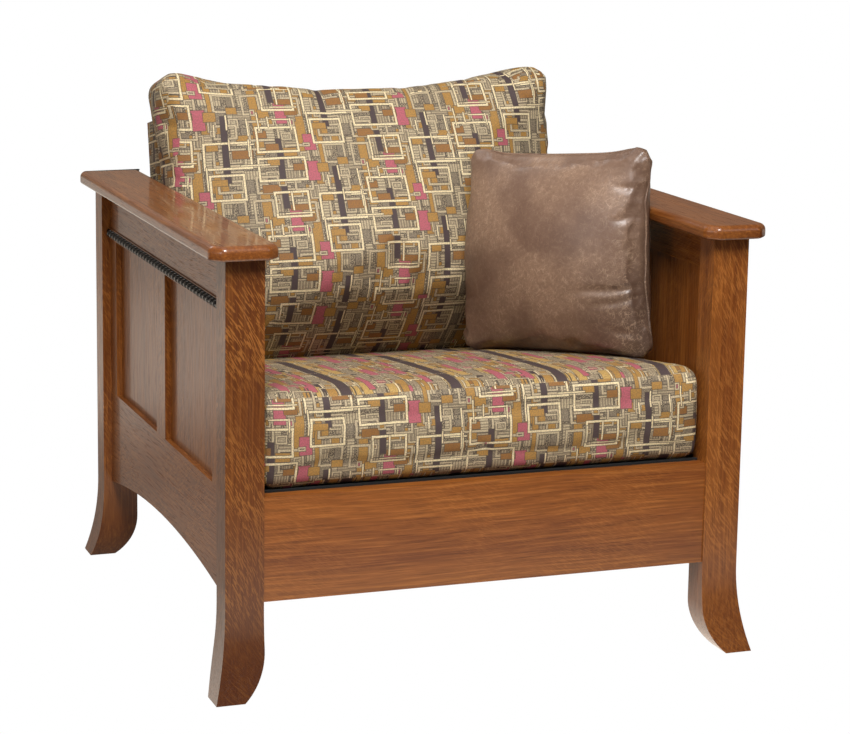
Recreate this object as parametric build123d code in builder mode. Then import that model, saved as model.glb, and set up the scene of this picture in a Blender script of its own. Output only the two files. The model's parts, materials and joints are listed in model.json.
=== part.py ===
"""Panel-sided lounge chair: oak frame, loose cushions and a throw pillow.

X runs across the chair, the front faces -Y and +Z is up. The origin is on the
floor, under the middle of the four feet. Lengths are millimetres.
"""
import os
from math import cos, radians, sin, tan

from build123d import *

# Overall sizes of the timber frame
POSTS_WIDTH = 760.0      # across the outer faces of the posts
POSTS_DEPTH = 756.0      # front face of the front posts to back face of the back posts
POST_HEIGHT = 600.0      # floor to the underside of the arm boards

# Posts and their flared feet
POST_WIDTH = 54.0
POST_DEPTH = 43.0
FLARE_OUT = 18.0         # the outer face runs out this far at the floor
FLARE_IN = 32.0          # the inner face follows it by this much
FLARE_FORE = 22.0        # front feet run forwards and back feet backwards
FLARE_RISE_OUT = 125.0   # height at which the outer curve starts
FLARE_RISE_IN = 68.0     # height at which the inner curve starts

# Front and back seat rails
RAIL_BOTTOM = 132.0
RAIL_HEIGHT = 145.0
RAIL_THICKNESS = 21.0
RAIL_SETBACK = 2.5       # rail face behind the post face
TENON_THICKNESS = 9.0
TENON_LENGTH = 20.0
TENON_SHOULDER = 14.0    # rail edge to tenon edge
JOINT_CLEARANCE = 0.15   # glue room on each side of a tenon, a tongue or a panel
MORTISE_RELIEF = 1.0     # a mortise or groove is this much deeper than what it takes

# Side frames
FRAME_THICKNESS = 21.0
POST_PROUD = 13.0        # post face outside the face of the side frame
SIDE_RAIL_TOP = 274.0    # top edge of the arched bottom rail
ARCH_FOOT = 126.0        # height of the arch where it meets the posts
ARCH_RISE = 29.0
TOP_RAIL_OUTER = 80.0    # depth of the top rail on its outer face
TOP_RAIL_INNER = 54.0    # depth of the top rail on its inner face
FRONT_STILE = 69.0
BACK_STILE = 39.0
MULLION = 50.0
MULLION_SHIFT = 17.0     # middle of the mullion, behind the middle of the side
PANEL_THICKNESS = 6.0
PANEL_RECESS = 9.0       # panel face inside the outer face of the frame
GROOVE_DEPTH = 8.0

# Rope moulding on the outside of each top rail
ROPE_RADIUS = 5.5
ROPE_ABOVE_LIP = 7.5     # middle of the moulding above the lower edge of the rail

# Arm boards
ARM_THICKNESS = 20.0
ARM_OVER_OUTSIDE = 24.0
ARM_OVER_INSIDE = 18.0
ARM_OVER_FRONT = 20.0
ARM_OVER_BACK = 5.0
ARM_CLIP = 16.0          # the front corners are cut off by this much
ARM_TOP_ROUND = 6.0
ARM_BOTTOM_ROUND = 3.0
DOWEL_RADIUS = 5.0
DOWEL_IN_POST = 22.0
DOWEL_IN_ARM = 12.0
DOWEL_SPACING = 26.0
DOWEL_CLEARANCE = 0.05

# Seat deck
SEAT_SLOPE = 6.2         # degrees, down towards the back
DECK_DROP = 7.0          # slat tops below the top of the front rail, at that rail
SLAT_THICKNESS = 18.0
SLAT_WIDTH = 62.0
SLAT_COUNT = 6
CLEAT_HEIGHT = 40.0
CLEAT_THICKNESS = 20.0
LEDGER_HEIGHT = 40.0
DECK_PAD_THICKNESS = 10.0
FIT_CLEARANCE = 1.0      # end room of slats and other loose-fitting timber

# Upholstered back
RECLINE = 12.0           # degrees from upright
BACK_LEAN_DROP = 48.0    # the back meets the support rail this far below the top of the posts
BACK_LEAN_INSET = 47.0    # how far that line lies in front of the back of the posts
BACK_FOOT = 232.0        # height of the lower back edge
BACK_ABOVE_POSTS = 95.0  # the upper back edge stands this far above the posts
BACK_ARM_CLEARANCE = 8.0  # each side of the back clears the arm board
BACK_BOARD = 4.0         # covered board on the outside of the back
BACK_FRAME = 32.0        # thickness of the frame inside
BACK_FRAME_STILE = 50.0
BACK_FRAME_RAIL = 70.0
BACK_SIDE_PADDING = 6.0
BACK_FRONT_PADDING = 17.0
WEB_THICKNESS = 2.0
WEB_WIDTH = 60.0
WEB_COUNT = 3
BACK_EDGE_ROUND = 12.0
SUPPORT_RAIL_HEIGHT = 65.0
SUPPORT_RAIL_BACK = 16.0  # back face of the support rail in from the back of the posts

# Seat cushion
SOFT_CLEARANCE = 0.3     # cushions stop this far short of what they lie on
SEAT_SIDE_CLEARANCE = 2.0
SEAT_FRONT_SETBACK = 16.0
SEAT_THICKNESS = 131.0   # at its edges
SEAT_CROWN = 5.0
SEAT_SIDE_SWELL = 3.0    # the sides stand out this much half way up
SEAT_FRONT_ROUND = 26.0
SEAT_EDGE_ROUND = 14.0

# Back cushion, measured along and square to the upholstered back
CUSHION_ARM_CLEARANCE = 14.0  # each side of the foot clears the arm board
CUSHION_EAR_OVERHANG = 6.0  # each ear lies over the inner edge of the arm board
CUSHION_EAR_HEIGHT = 206.0  # ears above the line where the back meets the support rail
CUSHION_DIP = 26.0       # the upper edge sags between the ears
CUSHION_FOOT_DEPTH = 138.0
CUSHION_MIDDLE_DEPTH = 184.0
CUSHION_TOP_DEPTH = 97.0
CUSHION_SIDE_DEPTH = 112.0
CUSHION_CORNER = 30.0
CUSHION_SIDE_EASE = 4.0  # the rounded plan is wider than the ears, so it only eases the sides
CUSHION_EDGE_ROUND = 22.0
CUSHION_FOOT_ROUND = 30.0
crown_under_cushion_share = 0.72  # how much of the seat crown the cushion foot clears

# Throw pillow, standing in the right corner of the seat
PILLOW_WIDTH = 342.0
PILLOW_HEIGHT = 314.0
PILLOW_THICKNESS = 124.0
PILLOW_EDGE = 12.0
PILLOW_DRAW = 6.0       # the edges curve in this far between the corners
PILLOW_CORNER = 28.0
PILLOW_YAW = 58.0        # degrees the pillow is turned towards the middle
PILLOW_ROLL = 5.3        # degrees it tips sideways with the slope of the seat
PILLOW_LEAN = 4.0
PILLOW_ARM_OFFSET = 102.5  # middle of the pillow from the inner edge of the right arm board
PILLOW_FRONT_OFFSET = 281.0  # middle of the pillow behind the front of the posts
PILLOW_LIFT = -1.05      # middle of the lower seam over the crown of the seat
shoulder_place_share = 0.62  # where the fuller sections of the pillow lie, from its middle
shoulder_thickness_share = 0.74

OVERRUN = 5.0            # a cut runs this far past the face it opens

# Planes and places worked out from the sizes above
half_width = POSTS_WIDTH / 2
half_depth = POSTS_DEPTH / 2
inner_half = half_width - POST_WIDTH              # inner face of the posts
side_length = POSTS_DEPTH - 2 * POST_DEPTH        # clear length between the posts
frame_outer = half_width - POST_PROUD
frame_inner = frame_outer - FRAME_THICKNESS
panel_outer = frame_outer - PANEL_RECESS
panel_inner = panel_outer - PANEL_THICKNESS
panel_middle = (panel_outer + panel_inner) / 2
top_lip_outer = POST_HEIGHT - TOP_RAIL_OUTER
top_lip_inner = POST_HEIGHT - TOP_RAIL_INNER
tongue = GROOVE_DEPTH - MORTISE_RELIEF
rail_middle_y = half_depth - RAIL_SETBACK - RAIL_THICKNESS / 2
rail_inner_y = half_depth - RAIL_SETBACK - RAIL_THICKNESS
rail_top = RAIL_BOTTOM + RAIL_HEIGHT

slope = radians(SEAT_SLOPE)
deck_start = Vector(0, -rail_inner_y, rail_top - DECK_DROP)
deck_plane = Plane(deck_start, x_dir=(1, 0, 0), z_dir=(0, sin(slope), cos(slope)))
deck_side = Plane(deck_start, x_dir=(0, cos(slope), -sin(slope)), z_dir=(1, 0, 0))
deck_front = Plane(deck_start, x_dir=(1, 0, 0), z_dir=(0, -cos(slope), sin(slope)))

lean = radians(RECLINE)
lean_height = POST_HEIGHT - BACK_LEAN_DROP
back_top = POST_HEIGHT + BACK_ABOVE_POSTS
lean_point = Vector(0, half_depth - BACK_LEAN_INSET, lean_height)
back_plane = Plane(lean_point, x_dir=(1, 0, 0), z_dir=(0, -cos(lean), sin(lean)))
back_side = Plane(lean_point, x_dir=(0, sin(lean), cos(lean)), z_dir=(1, 0, 0))
back_above = Plane(lean_point, x_dir=(1, 0, 0), z_dir=(0, sin(lean), cos(lean)))
back_low = (BACK_FOOT - lean_height) / cos(lean)
back_high = (back_top - lean_height) / cos(lean)
back_depth = BACK_BOARD + BACK_FRAME + WEB_THICKNESS + BACK_FRONT_PADDING
arm_clear_half = inner_half - ARM_OVER_INSIDE       # inner edge of the arm boards
pad_half = arm_clear_half - BACK_ARM_CLEARANCE
frame_half = pad_half - BACK_SIDE_PADDING
frame_high = back_high - BACK_SIDE_PADDING

os.makedirs("parts", exist_ok=True)


def save(part, name):
    """Label one piece and write it as its own file."""
    part.label = name
    export_step(part, f"parts/{name}.step")


def save_pair(part, name):
    """Write a left piece and its mirror image on the right."""
    save(part, f"{name}_left")
    save(mirror(part, about=Plane.YZ), f"{name}_right")


def nearest(sketch, x, y):
    """The corner of a sketch that is nearest to a place in its own axes."""
    return sketch.vertices().sort_by_distance((x, y, 0))[0]


def deck_height(y):
    """Height of the slat tops at a depth y."""
    return deck_start.Z - (y - deck_start.Y) * tan(slope)


def block(x0, x1, y0, y1, z0, z1):
    """Cut a square-cornered pocket out of the piece being made."""
    middle = ((x0 + x1) / 2, (y0 + y1) / 2, (z0 + z1) / 2)
    with Locations(middle):
        Box(abs(x1 - x0), abs(y1 - y0), abs(z1 - z0), mode=Mode.SUBTRACT)


def tenon(x0, x1, y0, y1, z0, z1):
    """Add a square-cornered tenon to the piece being made."""
    middle = ((x0 + x1) / 2, (y0 + y1) / 2, (z0 + z1) / 2)
    with Locations(middle):
        Box(abs(x1 - x0), abs(y1 - y0), abs(z1 - z0))


# Where each tenon lies, for the rail that carries it and the post that takes it
rail_tenon_z = (RAIL_BOTTOM + TENON_SHOULDER, rail_top - TENON_SHOULDER)
rail_tenon_y = (rail_middle_y - TENON_THICKNESS / 2, rail_middle_y + TENON_THICKNESS / 2)
side_tenon_x = (-panel_middle - TENON_THICKNESS / 2, -panel_middle + TENON_THICKNESS / 2)
side_low_z = (ARCH_FOOT + TENON_SHOULDER, SIDE_RAIL_TOP - TENON_SHOULDER)
side_high_z = (top_lip_inner + TENON_SHOULDER, POST_HEIGHT - TENON_SHOULDER)
support_middle_z = lean_height
support_back_y = half_depth - SUPPORT_RAIL_BACK
support_z = (support_middle_z - SUPPORT_RAIL_HEIGHT / 2, support_middle_z + SUPPORT_RAIL_HEIGHT / 2)
support_tenon_y = (support_back_y - TENON_THICKNESS - JOINT_CLEARANCE, support_back_y - JOINT_CLEARANCE)
support_tenon_z = (support_z[0] + TENON_SHOULDER, support_z[1] - TENON_SHOULDER)
dowel_x = -half_width + POST_WIDTH / 2


def widen(pair):
    """The two faces of a mortise round the two faces of a tenon."""
    return pair[0] - JOINT_CLEARANCE, pair[1] + JOINT_CLEARANCE


def post(front):
    """A left post with its flared foot; front is -1 for a front post, 1 for a back one."""
    outer_y = front * half_depth
    inner_y = front * (half_depth - POST_DEPTH)
    low_out = -half_width - FLARE_OUT
    low_in = -inner_half - FLARE_IN
    low_outer_y = outer_y + front * FLARE_FORE
    low_inner_y = inner_y + front * FLARE_FORE
    with BuildPart() as leg:
        with BuildSketch(Plane.XZ.offset(-outer_y - front * OVERRUN - front * FLARE_FORE)):
            with BuildLine():
                Line((-half_width, POST_HEIGHT), (-half_width, FLARE_RISE_OUT))
                TangentArc((-half_width, FLARE_RISE_OUT), (low_out, 0), tangent=(0, -1))
                Line((low_out, 0), (low_in, 0))
                TangentArc((-inner_half, FLARE_RISE_IN), (low_in, 0), tangent=(0, -1))
                Line((-inner_half, FLARE_RISE_IN), (-inner_half, POST_HEIGHT))
                Line((-inner_half, POST_HEIGHT), (-half_width, POST_HEIGHT))
            make_face()
        extrude(amount=front * (POST_DEPTH + FLARE_FORE + 2 * OVERRUN))
        with BuildSketch(Plane.YZ.offset(-half_width - FLARE_OUT - OVERRUN)):
            with BuildLine():
                Line((outer_y, POST_HEIGHT), (outer_y, FLARE_RISE_OUT))
                TangentArc((outer_y, FLARE_RISE_OUT), (low_outer_y, 0), tangent=(0, -1))
                Line((low_outer_y, 0), (low_inner_y, 0))
                TangentArc((inner_y, FLARE_RISE_IN), (low_inner_y, 0), tangent=(0, -1))
                Line((inner_y, FLARE_RISE_IN), (inner_y, POST_HEIGHT))
                Line((inner_y, POST_HEIGHT), (outer_y, POST_HEIGHT))
            make_face()
        extrude(amount=POST_WIDTH + FLARE_OUT + 2 * OVERRUN, mode=Mode.INTERSECT)
        cut_mortises(front)
        for step in (-1, 1):
            with Locations((dowel_x, front * (half_depth - POST_DEPTH / 2), POST_HEIGHT)):
                with Locations((step * DOWEL_SPACING / 2, 0, 0)):
                    Cylinder(
                        DOWEL_RADIUS + DOWEL_CLEARANCE,
                        2 * (DOWEL_IN_POST + MORTISE_RELIEF),
                        mode=Mode.SUBTRACT,
                    )
    return leg.part


def cut_mortises(front):
    """Cut the seat rail, side rail and support rail mortises into a left post."""
    deep = TENON_LENGTH + MORTISE_RELIEF
    low_y, high_y = widen(rail_tenon_y)
    block(-inner_half + OVERRUN, -inner_half - deep, front * low_y, front * high_y, *widen(rail_tenon_z))
    start = front * (half_depth - POST_DEPTH)
    for heights in (side_low_z, side_high_z):
        block(*widen(side_tenon_x), start - front * OVERRUN, start + front * deep, *widen(heights))
    if front > 0:
        block(-inner_half + OVERRUN, -inner_half - deep, *widen(support_tenon_y), *widen(support_tenon_z))


def seat_rail(front):
    """A front or back seat rail with a tenon at each end."""
    middle_z = (RAIL_BOTTOM + rail_top) / 2
    with BuildPart() as rail:
        with Locations((0, front * rail_middle_y, middle_z)):
            Box(2 * inner_half, RAIL_THICKNESS, RAIL_HEIGHT)
        low_y, high_y = rail_tenon_y
        reach = inner_half + TENON_LENGTH
        tenon(-reach, reach, front * low_y, front * high_y, *rail_tenon_z)
    return rail.part


save_pair(post(-1), "front_post")
save_pair(post(1), "back_post")
save(seat_rail(-1), "front_rail")
save(seat_rail(1), "back_rail")

# Upper cross rail: its front face is bevelled to carry the leaning back
with BuildPart() as back_support_rail:
    bevel_low = lean_point.Y - SUPPORT_RAIL_HEIGHT / 2 * tan(lean)
    bevel_high = lean_point.Y + SUPPORT_RAIL_HEIGHT / 2 * tan(lean)
    with BuildSketch(Plane.YZ.offset(-inner_half)):
        with BuildLine():
            Polyline(
                (bevel_low, support_z[0]),
                (bevel_high, support_z[1]),
                (support_back_y, support_z[1]),
                (support_back_y, support_z[0]),
                close=True,
            )
        make_face()
    extrude(amount=2 * inner_half)
    support_reach = inner_half + TENON_LENGTH
    tenon(-support_reach, support_reach, *support_tenon_y, *support_tenon_z)
save(back_support_rail.part, "back_support_rail")

# Side frame: grooved top rail, arched and grooved bottom rail
groove_x = (-panel_outer - JOINT_CLEARANCE, -panel_inner + JOINT_CLEARANCE)
half_side = side_length / 2
tenon_reach = half_side + TENON_LENGTH

with BuildPart() as side_top_rail:
    with BuildSketch(Plane.XZ.offset(-half_side)):
        with BuildLine():
            Polyline(
                (-frame_outer, POST_HEIGHT),
                (-frame_outer, top_lip_outer),
                (groove_x[0], top_lip_outer),
                (groove_x[0], top_lip_inner + GROOVE_DEPTH),
                (groove_x[1], top_lip_inner + GROOVE_DEPTH),
                (groove_x[1], top_lip_inner),
                (-frame_inner, top_lip_inner),
                (-frame_inner, POST_HEIGHT),
                close=True,
            )
        make_face()
    extrude(amount=2 * half_side)
    tenon(*side_tenon_x, -tenon_reach, tenon_reach, *side_high_z)
save_pair(side_top_rail.part, "side_top_rail")

with BuildPart() as side_bottom_rail:
    with BuildSketch(Plane.YZ.offset(-frame_outer)):
        with BuildLine():
            Line((-half_side, ARCH_FOOT), (-half_side, SIDE_RAIL_TOP))
            Line((-half_side, SIDE_RAIL_TOP), (half_side, SIDE_RAIL_TOP))
            Line((half_side, SIDE_RAIL_TOP), (half_side, ARCH_FOOT))
            ThreePointArc(
                (half_side, ARCH_FOOT), (0, ARCH_FOOT + ARCH_RISE), (-half_side, ARCH_FOOT)
            )
        make_face()
    extrude(amount=FRAME_THICKNESS)
    for end in (-1, 1):
        tenon(*side_tenon_x, end * half_side, end * tenon_reach, *side_low_z)
    block(
        *groove_x, -half_side - OVERRUN, half_side + OVERRUN,
        SIDE_RAIL_TOP - GROOVE_DEPTH, SIDE_RAIL_TOP + OVERRUN,
    )
save_pair(side_bottom_rail.part, "side_bottom_rail")


def upright(front_y, back_y, grooves):
    """A stile or mullion with tongues above and below and grooves for the panels."""
    with BuildPart() as stile:
        with BuildSketch(Plane.XZ.offset(-back_y)):
            with BuildLine():
                Polyline(
                    (-frame_outer, SIDE_RAIL_TOP),
                    (-panel_outer, SIDE_RAIL_TOP),
                    (-panel_outer, SIDE_RAIL_TOP - tongue),
                    (-panel_inner, SIDE_RAIL_TOP - tongue),
                    (-panel_inner, SIDE_RAIL_TOP),
                    (-frame_inner, SIDE_RAIL_TOP),
                    (-frame_inner, top_lip_inner),
                    (-panel_inner, top_lip_inner),
                    (-panel_inner, top_lip_inner + tongue),
                    (-panel_outer, top_lip_inner + tongue),
                    (-panel_outer, top_lip_outer),
                    (-frame_outer, top_lip_outer),
                    close=True,
                )
            make_face()
        extrude(amount=back_y - front_y)
        tall = (SIDE_RAIL_TOP - GROOVE_DEPTH, top_lip_inner + GROOVE_DEPTH)
        if "front" in grooves:
            block(*groove_x, front_y - OVERRUN, front_y + GROOVE_DEPTH, *tall)
        if "back" in grooves:
            block(*groove_x, back_y - GROOVE_DEPTH, back_y + OVERRUN, *tall)
    return stile.part


def side_panel(front_y, back_y):
    """A flat panel that fills the opening between two uprights and sits in their grooves."""
    low = SIDE_RAIL_TOP - tongue
    high = top_lip_inner + tongue
    middle = (-panel_middle, (front_y + back_y) / 2, (low + high) / 2)
    with BuildPart() as panel:
        with Locations(middle):
            Box(PANEL_THICKNESS, back_y - front_y + 2 * tongue, high - low)
    return panel.part


front_stile_edge = -half_side + FRONT_STILE
back_stile_edge = half_side - BACK_STILE
mullion_front = MULLION_SHIFT - MULLION / 2
mullion_back = MULLION_SHIFT + MULLION / 2

save_pair(upright(-half_side, front_stile_edge, ("back",)), "side_front_stile")
save_pair(upright(back_stile_edge, half_side, ("front",)), "side_back_stile")
save_pair(upright(mullion_front, mullion_back, ("front", "back")), "side_mullion")
save_pair(side_panel(front_stile_edge, mullion_front), "side_front_panel")
save_pair(side_panel(mullion_back, back_stile_edge), "side_back_panel")

# Half-round rope moulding along the outside of the top rail
with BuildPart() as rope_moulding:
    rope_height = top_lip_outer + ROPE_ABOVE_LIP
    with BuildSketch(Plane.XZ.offset(-half_side)):
        with BuildLine():
            Line((-frame_outer, rope_height - ROPE_RADIUS), (-frame_outer, rope_height + ROPE_RADIUS))
            ThreePointArc(
                (-frame_outer, rope_height + ROPE_RADIUS),
                (-frame_outer - ROPE_RADIUS, rope_height),
                (-frame_outer, rope_height - ROPE_RADIUS),
            )
        make_face()
    extrude(amount=2 * half_side)
save_pair(rope_moulding.part, "rope_moulding")

# Arm board with clipped front corners and eased edges
arm_outer = -half_width - ARM_OVER_OUTSIDE
arm_inner = -arm_clear_half
arm_front = -half_depth - ARM_OVER_FRONT
arm_back = half_depth + ARM_OVER_BACK
dowel_y = half_depth - POST_DEPTH / 2

with BuildPart() as arm_board:
    with BuildSketch(Plane.XY.offset(POST_HEIGHT)):
        with BuildLine():
            Polyline(
                (arm_outer, arm_back),
                (arm_outer, arm_front + ARM_CLIP),
                (arm_outer + ARM_CLIP, arm_front),
                (arm_inner - ARM_CLIP, arm_front),
                (arm_inner, arm_front + ARM_CLIP),
                (arm_inner, arm_back),
                close=True,
            )
        make_face()
    extrude(amount=ARM_THICKNESS)
    fillet(arm_board.faces().sort_by(Axis.Z)[-1].edges(), ARM_TOP_ROUND)
    fillet(arm_board.faces().sort_by(Axis.Z)[0].edges(), ARM_BOTTOM_ROUND)
    with Locations((dowel_x, -dowel_y, POST_HEIGHT), (dowel_x, dowel_y, POST_HEIGHT)):
        with Locations((-DOWEL_SPACING / 2, 0, 0), (DOWEL_SPACING / 2, 0, 0)):
            Cylinder(
                DOWEL_RADIUS + DOWEL_CLEARANCE,
                2 * (DOWEL_IN_ARM + MORTISE_RELIEF),
                mode=Mode.SUBTRACT,
            )
save_pair(arm_board.part, "arm_board")

# Dowels that join an arm board to its two posts
with BuildPart() as arm_dowels:
    dowel_middle = POST_HEIGHT + (DOWEL_IN_ARM - DOWEL_IN_POST) / 2
    with Locations((dowel_x, -dowel_y, dowel_middle), (dowel_x, dowel_y, dowel_middle)):
        with Locations((-DOWEL_SPACING / 2, 0, 0), (DOWEL_SPACING / 2, 0, 0)):
            Cylinder(DOWEL_RADIUS, DOWEL_IN_ARM + DOWEL_IN_POST)
save_pair(arm_dowels.part, "arm_dowels")

# Sloping cleats on the bottom rails carry the slats
with BuildPart() as deck_cleat:
    cleat_top_front = deck_height(-half_side) - SLAT_THICKNESS / cos(slope)
    cleat_top_back = deck_height(half_side) - SLAT_THICKNESS / cos(slope)
    with BuildSketch(Plane.YZ.offset(-frame_inner)):
        with BuildLine():
            Polyline(
                (-half_side, cleat_top_front),
                (half_side, cleat_top_back),
                (half_side, cleat_top_back - CLEAT_HEIGHT),
                (-half_side, cleat_top_front - CLEAT_HEIGHT),
                close=True,
            )
        make_face()
    extrude(amount=CLEAT_THICKNESS)
save_pair(deck_cleat.part, "deck_cleat")

# Strip behind the front rail that carries the front edge of the deck pad
with BuildPart() as front_ledger:
    ledger_back = -rail_inner_y + CLEAT_THICKNESS
    with BuildSketch(Plane.YZ.offset(-inner_half + FIT_CLEARANCE)):
        with BuildLine():
            Polyline(
                (-rail_inner_y, deck_height(-rail_inner_y)),
                (ledger_back, deck_height(ledger_back)),
                (ledger_back, deck_height(ledger_back) - LEDGER_HEIGHT),
                (-rail_inner_y, deck_height(-rail_inner_y) - LEDGER_HEIGHT),
                close=True,
            )
        make_face()
    extrude(amount=2 * (inner_half - FIT_CLEARANCE))
save(front_ledger.part, "front_ledger")

# Rail under the foot of the back: stands on the cleats, its top squared to the back
slat_length = 2 * (frame_inner - FIT_CLEARANCE)
foot_back = back_plane.from_local_coords(Vector(0, back_low, 0))
foot_front = back_plane.from_local_coords(Vector(0, back_low, back_depth))
with BuildPart() as back_foot_rail:
    with BuildSketch(Plane.YZ.offset(-frame_inner + FIT_CLEARANCE)):
        with BuildLine():
            Polyline(
                (foot_back.Y, foot_back.Z),
                (foot_front.Y, foot_front.Z),
                (foot_front.Y, deck_height(foot_front.Y) - SLAT_THICKNESS / cos(slope)),
                (foot_back.Y, deck_height(foot_back.Y) - SLAT_THICKNESS / cos(slope)),
                close=True,
            )
        make_face()
    extrude(amount=slat_length)
save(back_foot_rail.part, "back_foot_rail")

# Slats from the ledger to the foot rail, evenly spaced
first_slat = (CLEAT_THICKNESS + FIT_CLEARANCE) / cos(slope)
first_slat += SLAT_THICKNESS * tan(slope) + SLAT_WIDTH / 2
slats_end = (foot_front.Y - deck_start.Y) / cos(slope) - FIT_CLEARANCE
slat_pitch = (slats_end - first_slat - SLAT_WIDTH / 2) / (SLAT_COUNT - 1)
for number in range(SLAT_COUNT):
    with BuildPart() as deck_slat:
        with BuildSketch(deck_plane):
            with Locations((0, first_slat + number * slat_pitch)):
                Rectangle(slat_length, SLAT_WIDTH)
        extrude(amount=-SLAT_THICKNESS)
    save(deck_slat.part, f"deck_slat_{number + 1}")

# Black platform pad over the slats
pad_end = (foot_front.Y - deck_start.Y) / cos(slope) - FIT_CLEARANCE
pad_end -= DECK_PAD_THICKNESS * tan(slope)
with BuildPart() as deck_pad:
    with BuildSketch(deck_plane):
        with Locations((0, (pad_end + FIT_CLEARANCE) / 2)):
            Rectangle(2 * (inner_half - SEAT_SIDE_CLEARANCE), pad_end - FIT_CLEARANCE)
    extrude(amount=DECK_PAD_THICKNESS)
save(deck_pad.part, "deck_pad")

# Frame inside the upholstered back
frame_plane = back_plane.offset(BACK_BOARD)
frame_tall = frame_high - back_low
frame_middle = (frame_high + back_low) / 2

with BuildPart() as back_frame_stile:
    with BuildSketch(frame_plane):
        with Locations((-frame_half + BACK_FRAME_STILE / 2, frame_middle)):
            Rectangle(BACK_FRAME_STILE, frame_tall)
    extrude(amount=BACK_FRAME)
save_pair(back_frame_stile.part, "back_frame_stile")

frame_rail_length = 2 * (frame_half - BACK_FRAME_STILE)
frame_rails = {
    "back_frame_top_rail": frame_high - BACK_FRAME_RAIL / 2,
    "back_frame_bottom_rail": back_low + BACK_FRAME_RAIL / 2,
}
for rail_name, rail_height in frame_rails.items():
    with BuildPart() as back_frame_rail:
        with BuildSketch(frame_plane):
            with Locations((0, rail_height)):
                Rectangle(frame_rail_length, BACK_FRAME_RAIL)
        extrude(amount=BACK_FRAME)
    save(back_frame_rail.part, rail_name)

# Stretched webbing over the front of the frame
web_pitch = frame_rail_length / WEB_COUNT
for number in range(WEB_COUNT):
    with BuildPart() as back_web:
        with BuildSketch(frame_plane.offset(BACK_FRAME)):
            with Locations(((number - (WEB_COUNT - 1) / 2) * web_pitch, frame_middle)):
                Rectangle(WEB_WIDTH, frame_tall)
        extrude(amount=WEB_THICKNESS)
    save(back_web.part, f"back_web_{number + 1}")

with BuildPart() as outside_back:
    with BuildSketch(back_plane):
        with Locations((0, frame_middle)):
            Rectangle(2 * frame_half, frame_tall)
    extrude(amount=BACK_BOARD)
save(outside_back.part, "outside_back")

# Covered padding: over the front, round the sides and over the top of the frame
back_middle = (back_high + back_low) / 2
with BuildPart() as back_pad:
    with BuildSketch(back_plane):
        with Locations((0, back_middle)):
            Rectangle(2 * pad_half, back_high - back_low)
    extrude(amount=back_depth)
    front_face = back_pad.faces().sort_by(Axis(lean_point, back_plane.z_dir))[-1]
    rounded = [edge for edge in front_face.edges() if edge.center().Z > foot_front.Z + OVERRUN]
    fillet(rounded, BACK_EDGE_ROUND)
    with BuildSketch(back_plane):
        with Locations((0, frame_middle - OVERRUN / 2)):
            Rectangle(2 * frame_half, frame_tall + OVERRUN)
    extrude(amount=BACK_BOARD + BACK_FRAME + WEB_THICKNESS, mode=Mode.SUBTRACT)
save(back_pad.part, "back_pad")

# Seat cushion: a side profile run across the seat, trimmed by a front outline
seat_bottom = DECK_PAD_THICKNESS + SOFT_CLEARANCE
seat_top = seat_bottom + SEAT_THICKNESS
seat_half = inner_half - SEAT_SIDE_CLEARANCE
seat_corner = seat_half - SEAT_SIDE_SWELL
seat_front = (-half_depth + SEAT_FRONT_SETBACK - deck_start.Y) / cos(slope)
seat_foot = deck_side.to_local_coords(foot_front)


def seat_front_edge(height):
    """Where the upright front of the seat cushion lies at a height over the deck."""
    return seat_front - height * tan(slope)


def seat_back_edge(height):
    """Where the back of the seat cushion lies, parallel to the face of the upholstered back."""
    return seat_foot.X - FIT_CLEARANCE + (height - seat_foot.Y) * tan(lean - slope)


with BuildPart() as seat_cushion:
    with BuildSketch(deck_side.offset(-seat_half - OVERRUN)) as seat_profile:
        with BuildLine():
            Polyline(
                (seat_back_edge(seat_top), seat_top),
                (seat_back_edge(seat_bottom), seat_bottom),
                (seat_front_edge(seat_bottom), seat_bottom),
                (seat_front_edge(seat_top), seat_top),
            )
            ThreePointArc(
                (seat_front_edge(seat_top), seat_top),
                ((seat_front_edge(seat_top) + seat_back_edge(seat_top)) / 2, seat_top + SEAT_CROWN),
                (seat_back_edge(seat_top), seat_top),
            )
        make_face()
        fillet(nearest(seat_profile, seat_front_edge(seat_top), seat_top), SEAT_FRONT_ROUND)
        fillet(nearest(seat_profile, seat_front_edge(seat_bottom), seat_bottom), SEAT_EDGE_ROUND)
    extrude(amount=2 * (seat_half + OVERRUN))
    with BuildSketch(deck_front.offset(-seat_back_edge(seat_top) - SEAT_THICKNESS)) as seat_outline:
        seat_middle = (seat_bottom + seat_top) / 2
        with BuildLine():
            Line((-seat_corner, seat_bottom), (seat_corner, seat_bottom))
            ThreePointArc((seat_corner, seat_bottom), (seat_half, seat_middle), (seat_corner, seat_top))
            ThreePointArc((seat_corner, seat_top), (0, seat_top + 2 * SEAT_CROWN), (-seat_corner, seat_top))
            ThreePointArc((-seat_corner, seat_top), (-seat_half, seat_middle), (-seat_corner, seat_bottom))
        make_face()
        fillet(seat_outline.vertices(), SEAT_EDGE_ROUND)
    extrude(amount=seat_back_edge(seat_top) - seat_front + 2 * SEAT_THICKNESS, mode=Mode.INTERSECT)
save(seat_cushion.part, "seat_cushion")

# Back cushion: side profile, outline with raised ears, and a crowned plan
cushion_back = back_depth + SOFT_CLEARANCE
cushion_rest = seat_top + SEAT_CROWN * crown_under_cushion_share + SOFT_CLEARANCE
cushion_rest_angle = lean - slope


def cushion_foot(depth):
    """How far down the back the cushion reaches at a depth from the back: it lies on the seat."""
    start = deck_side.from_local_coords(Vector(0, cushion_rest, 0))
    along = back_side.to_local_coords(start)
    return along.X - (depth - along.Y) * tan(cushion_rest_angle)


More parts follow.
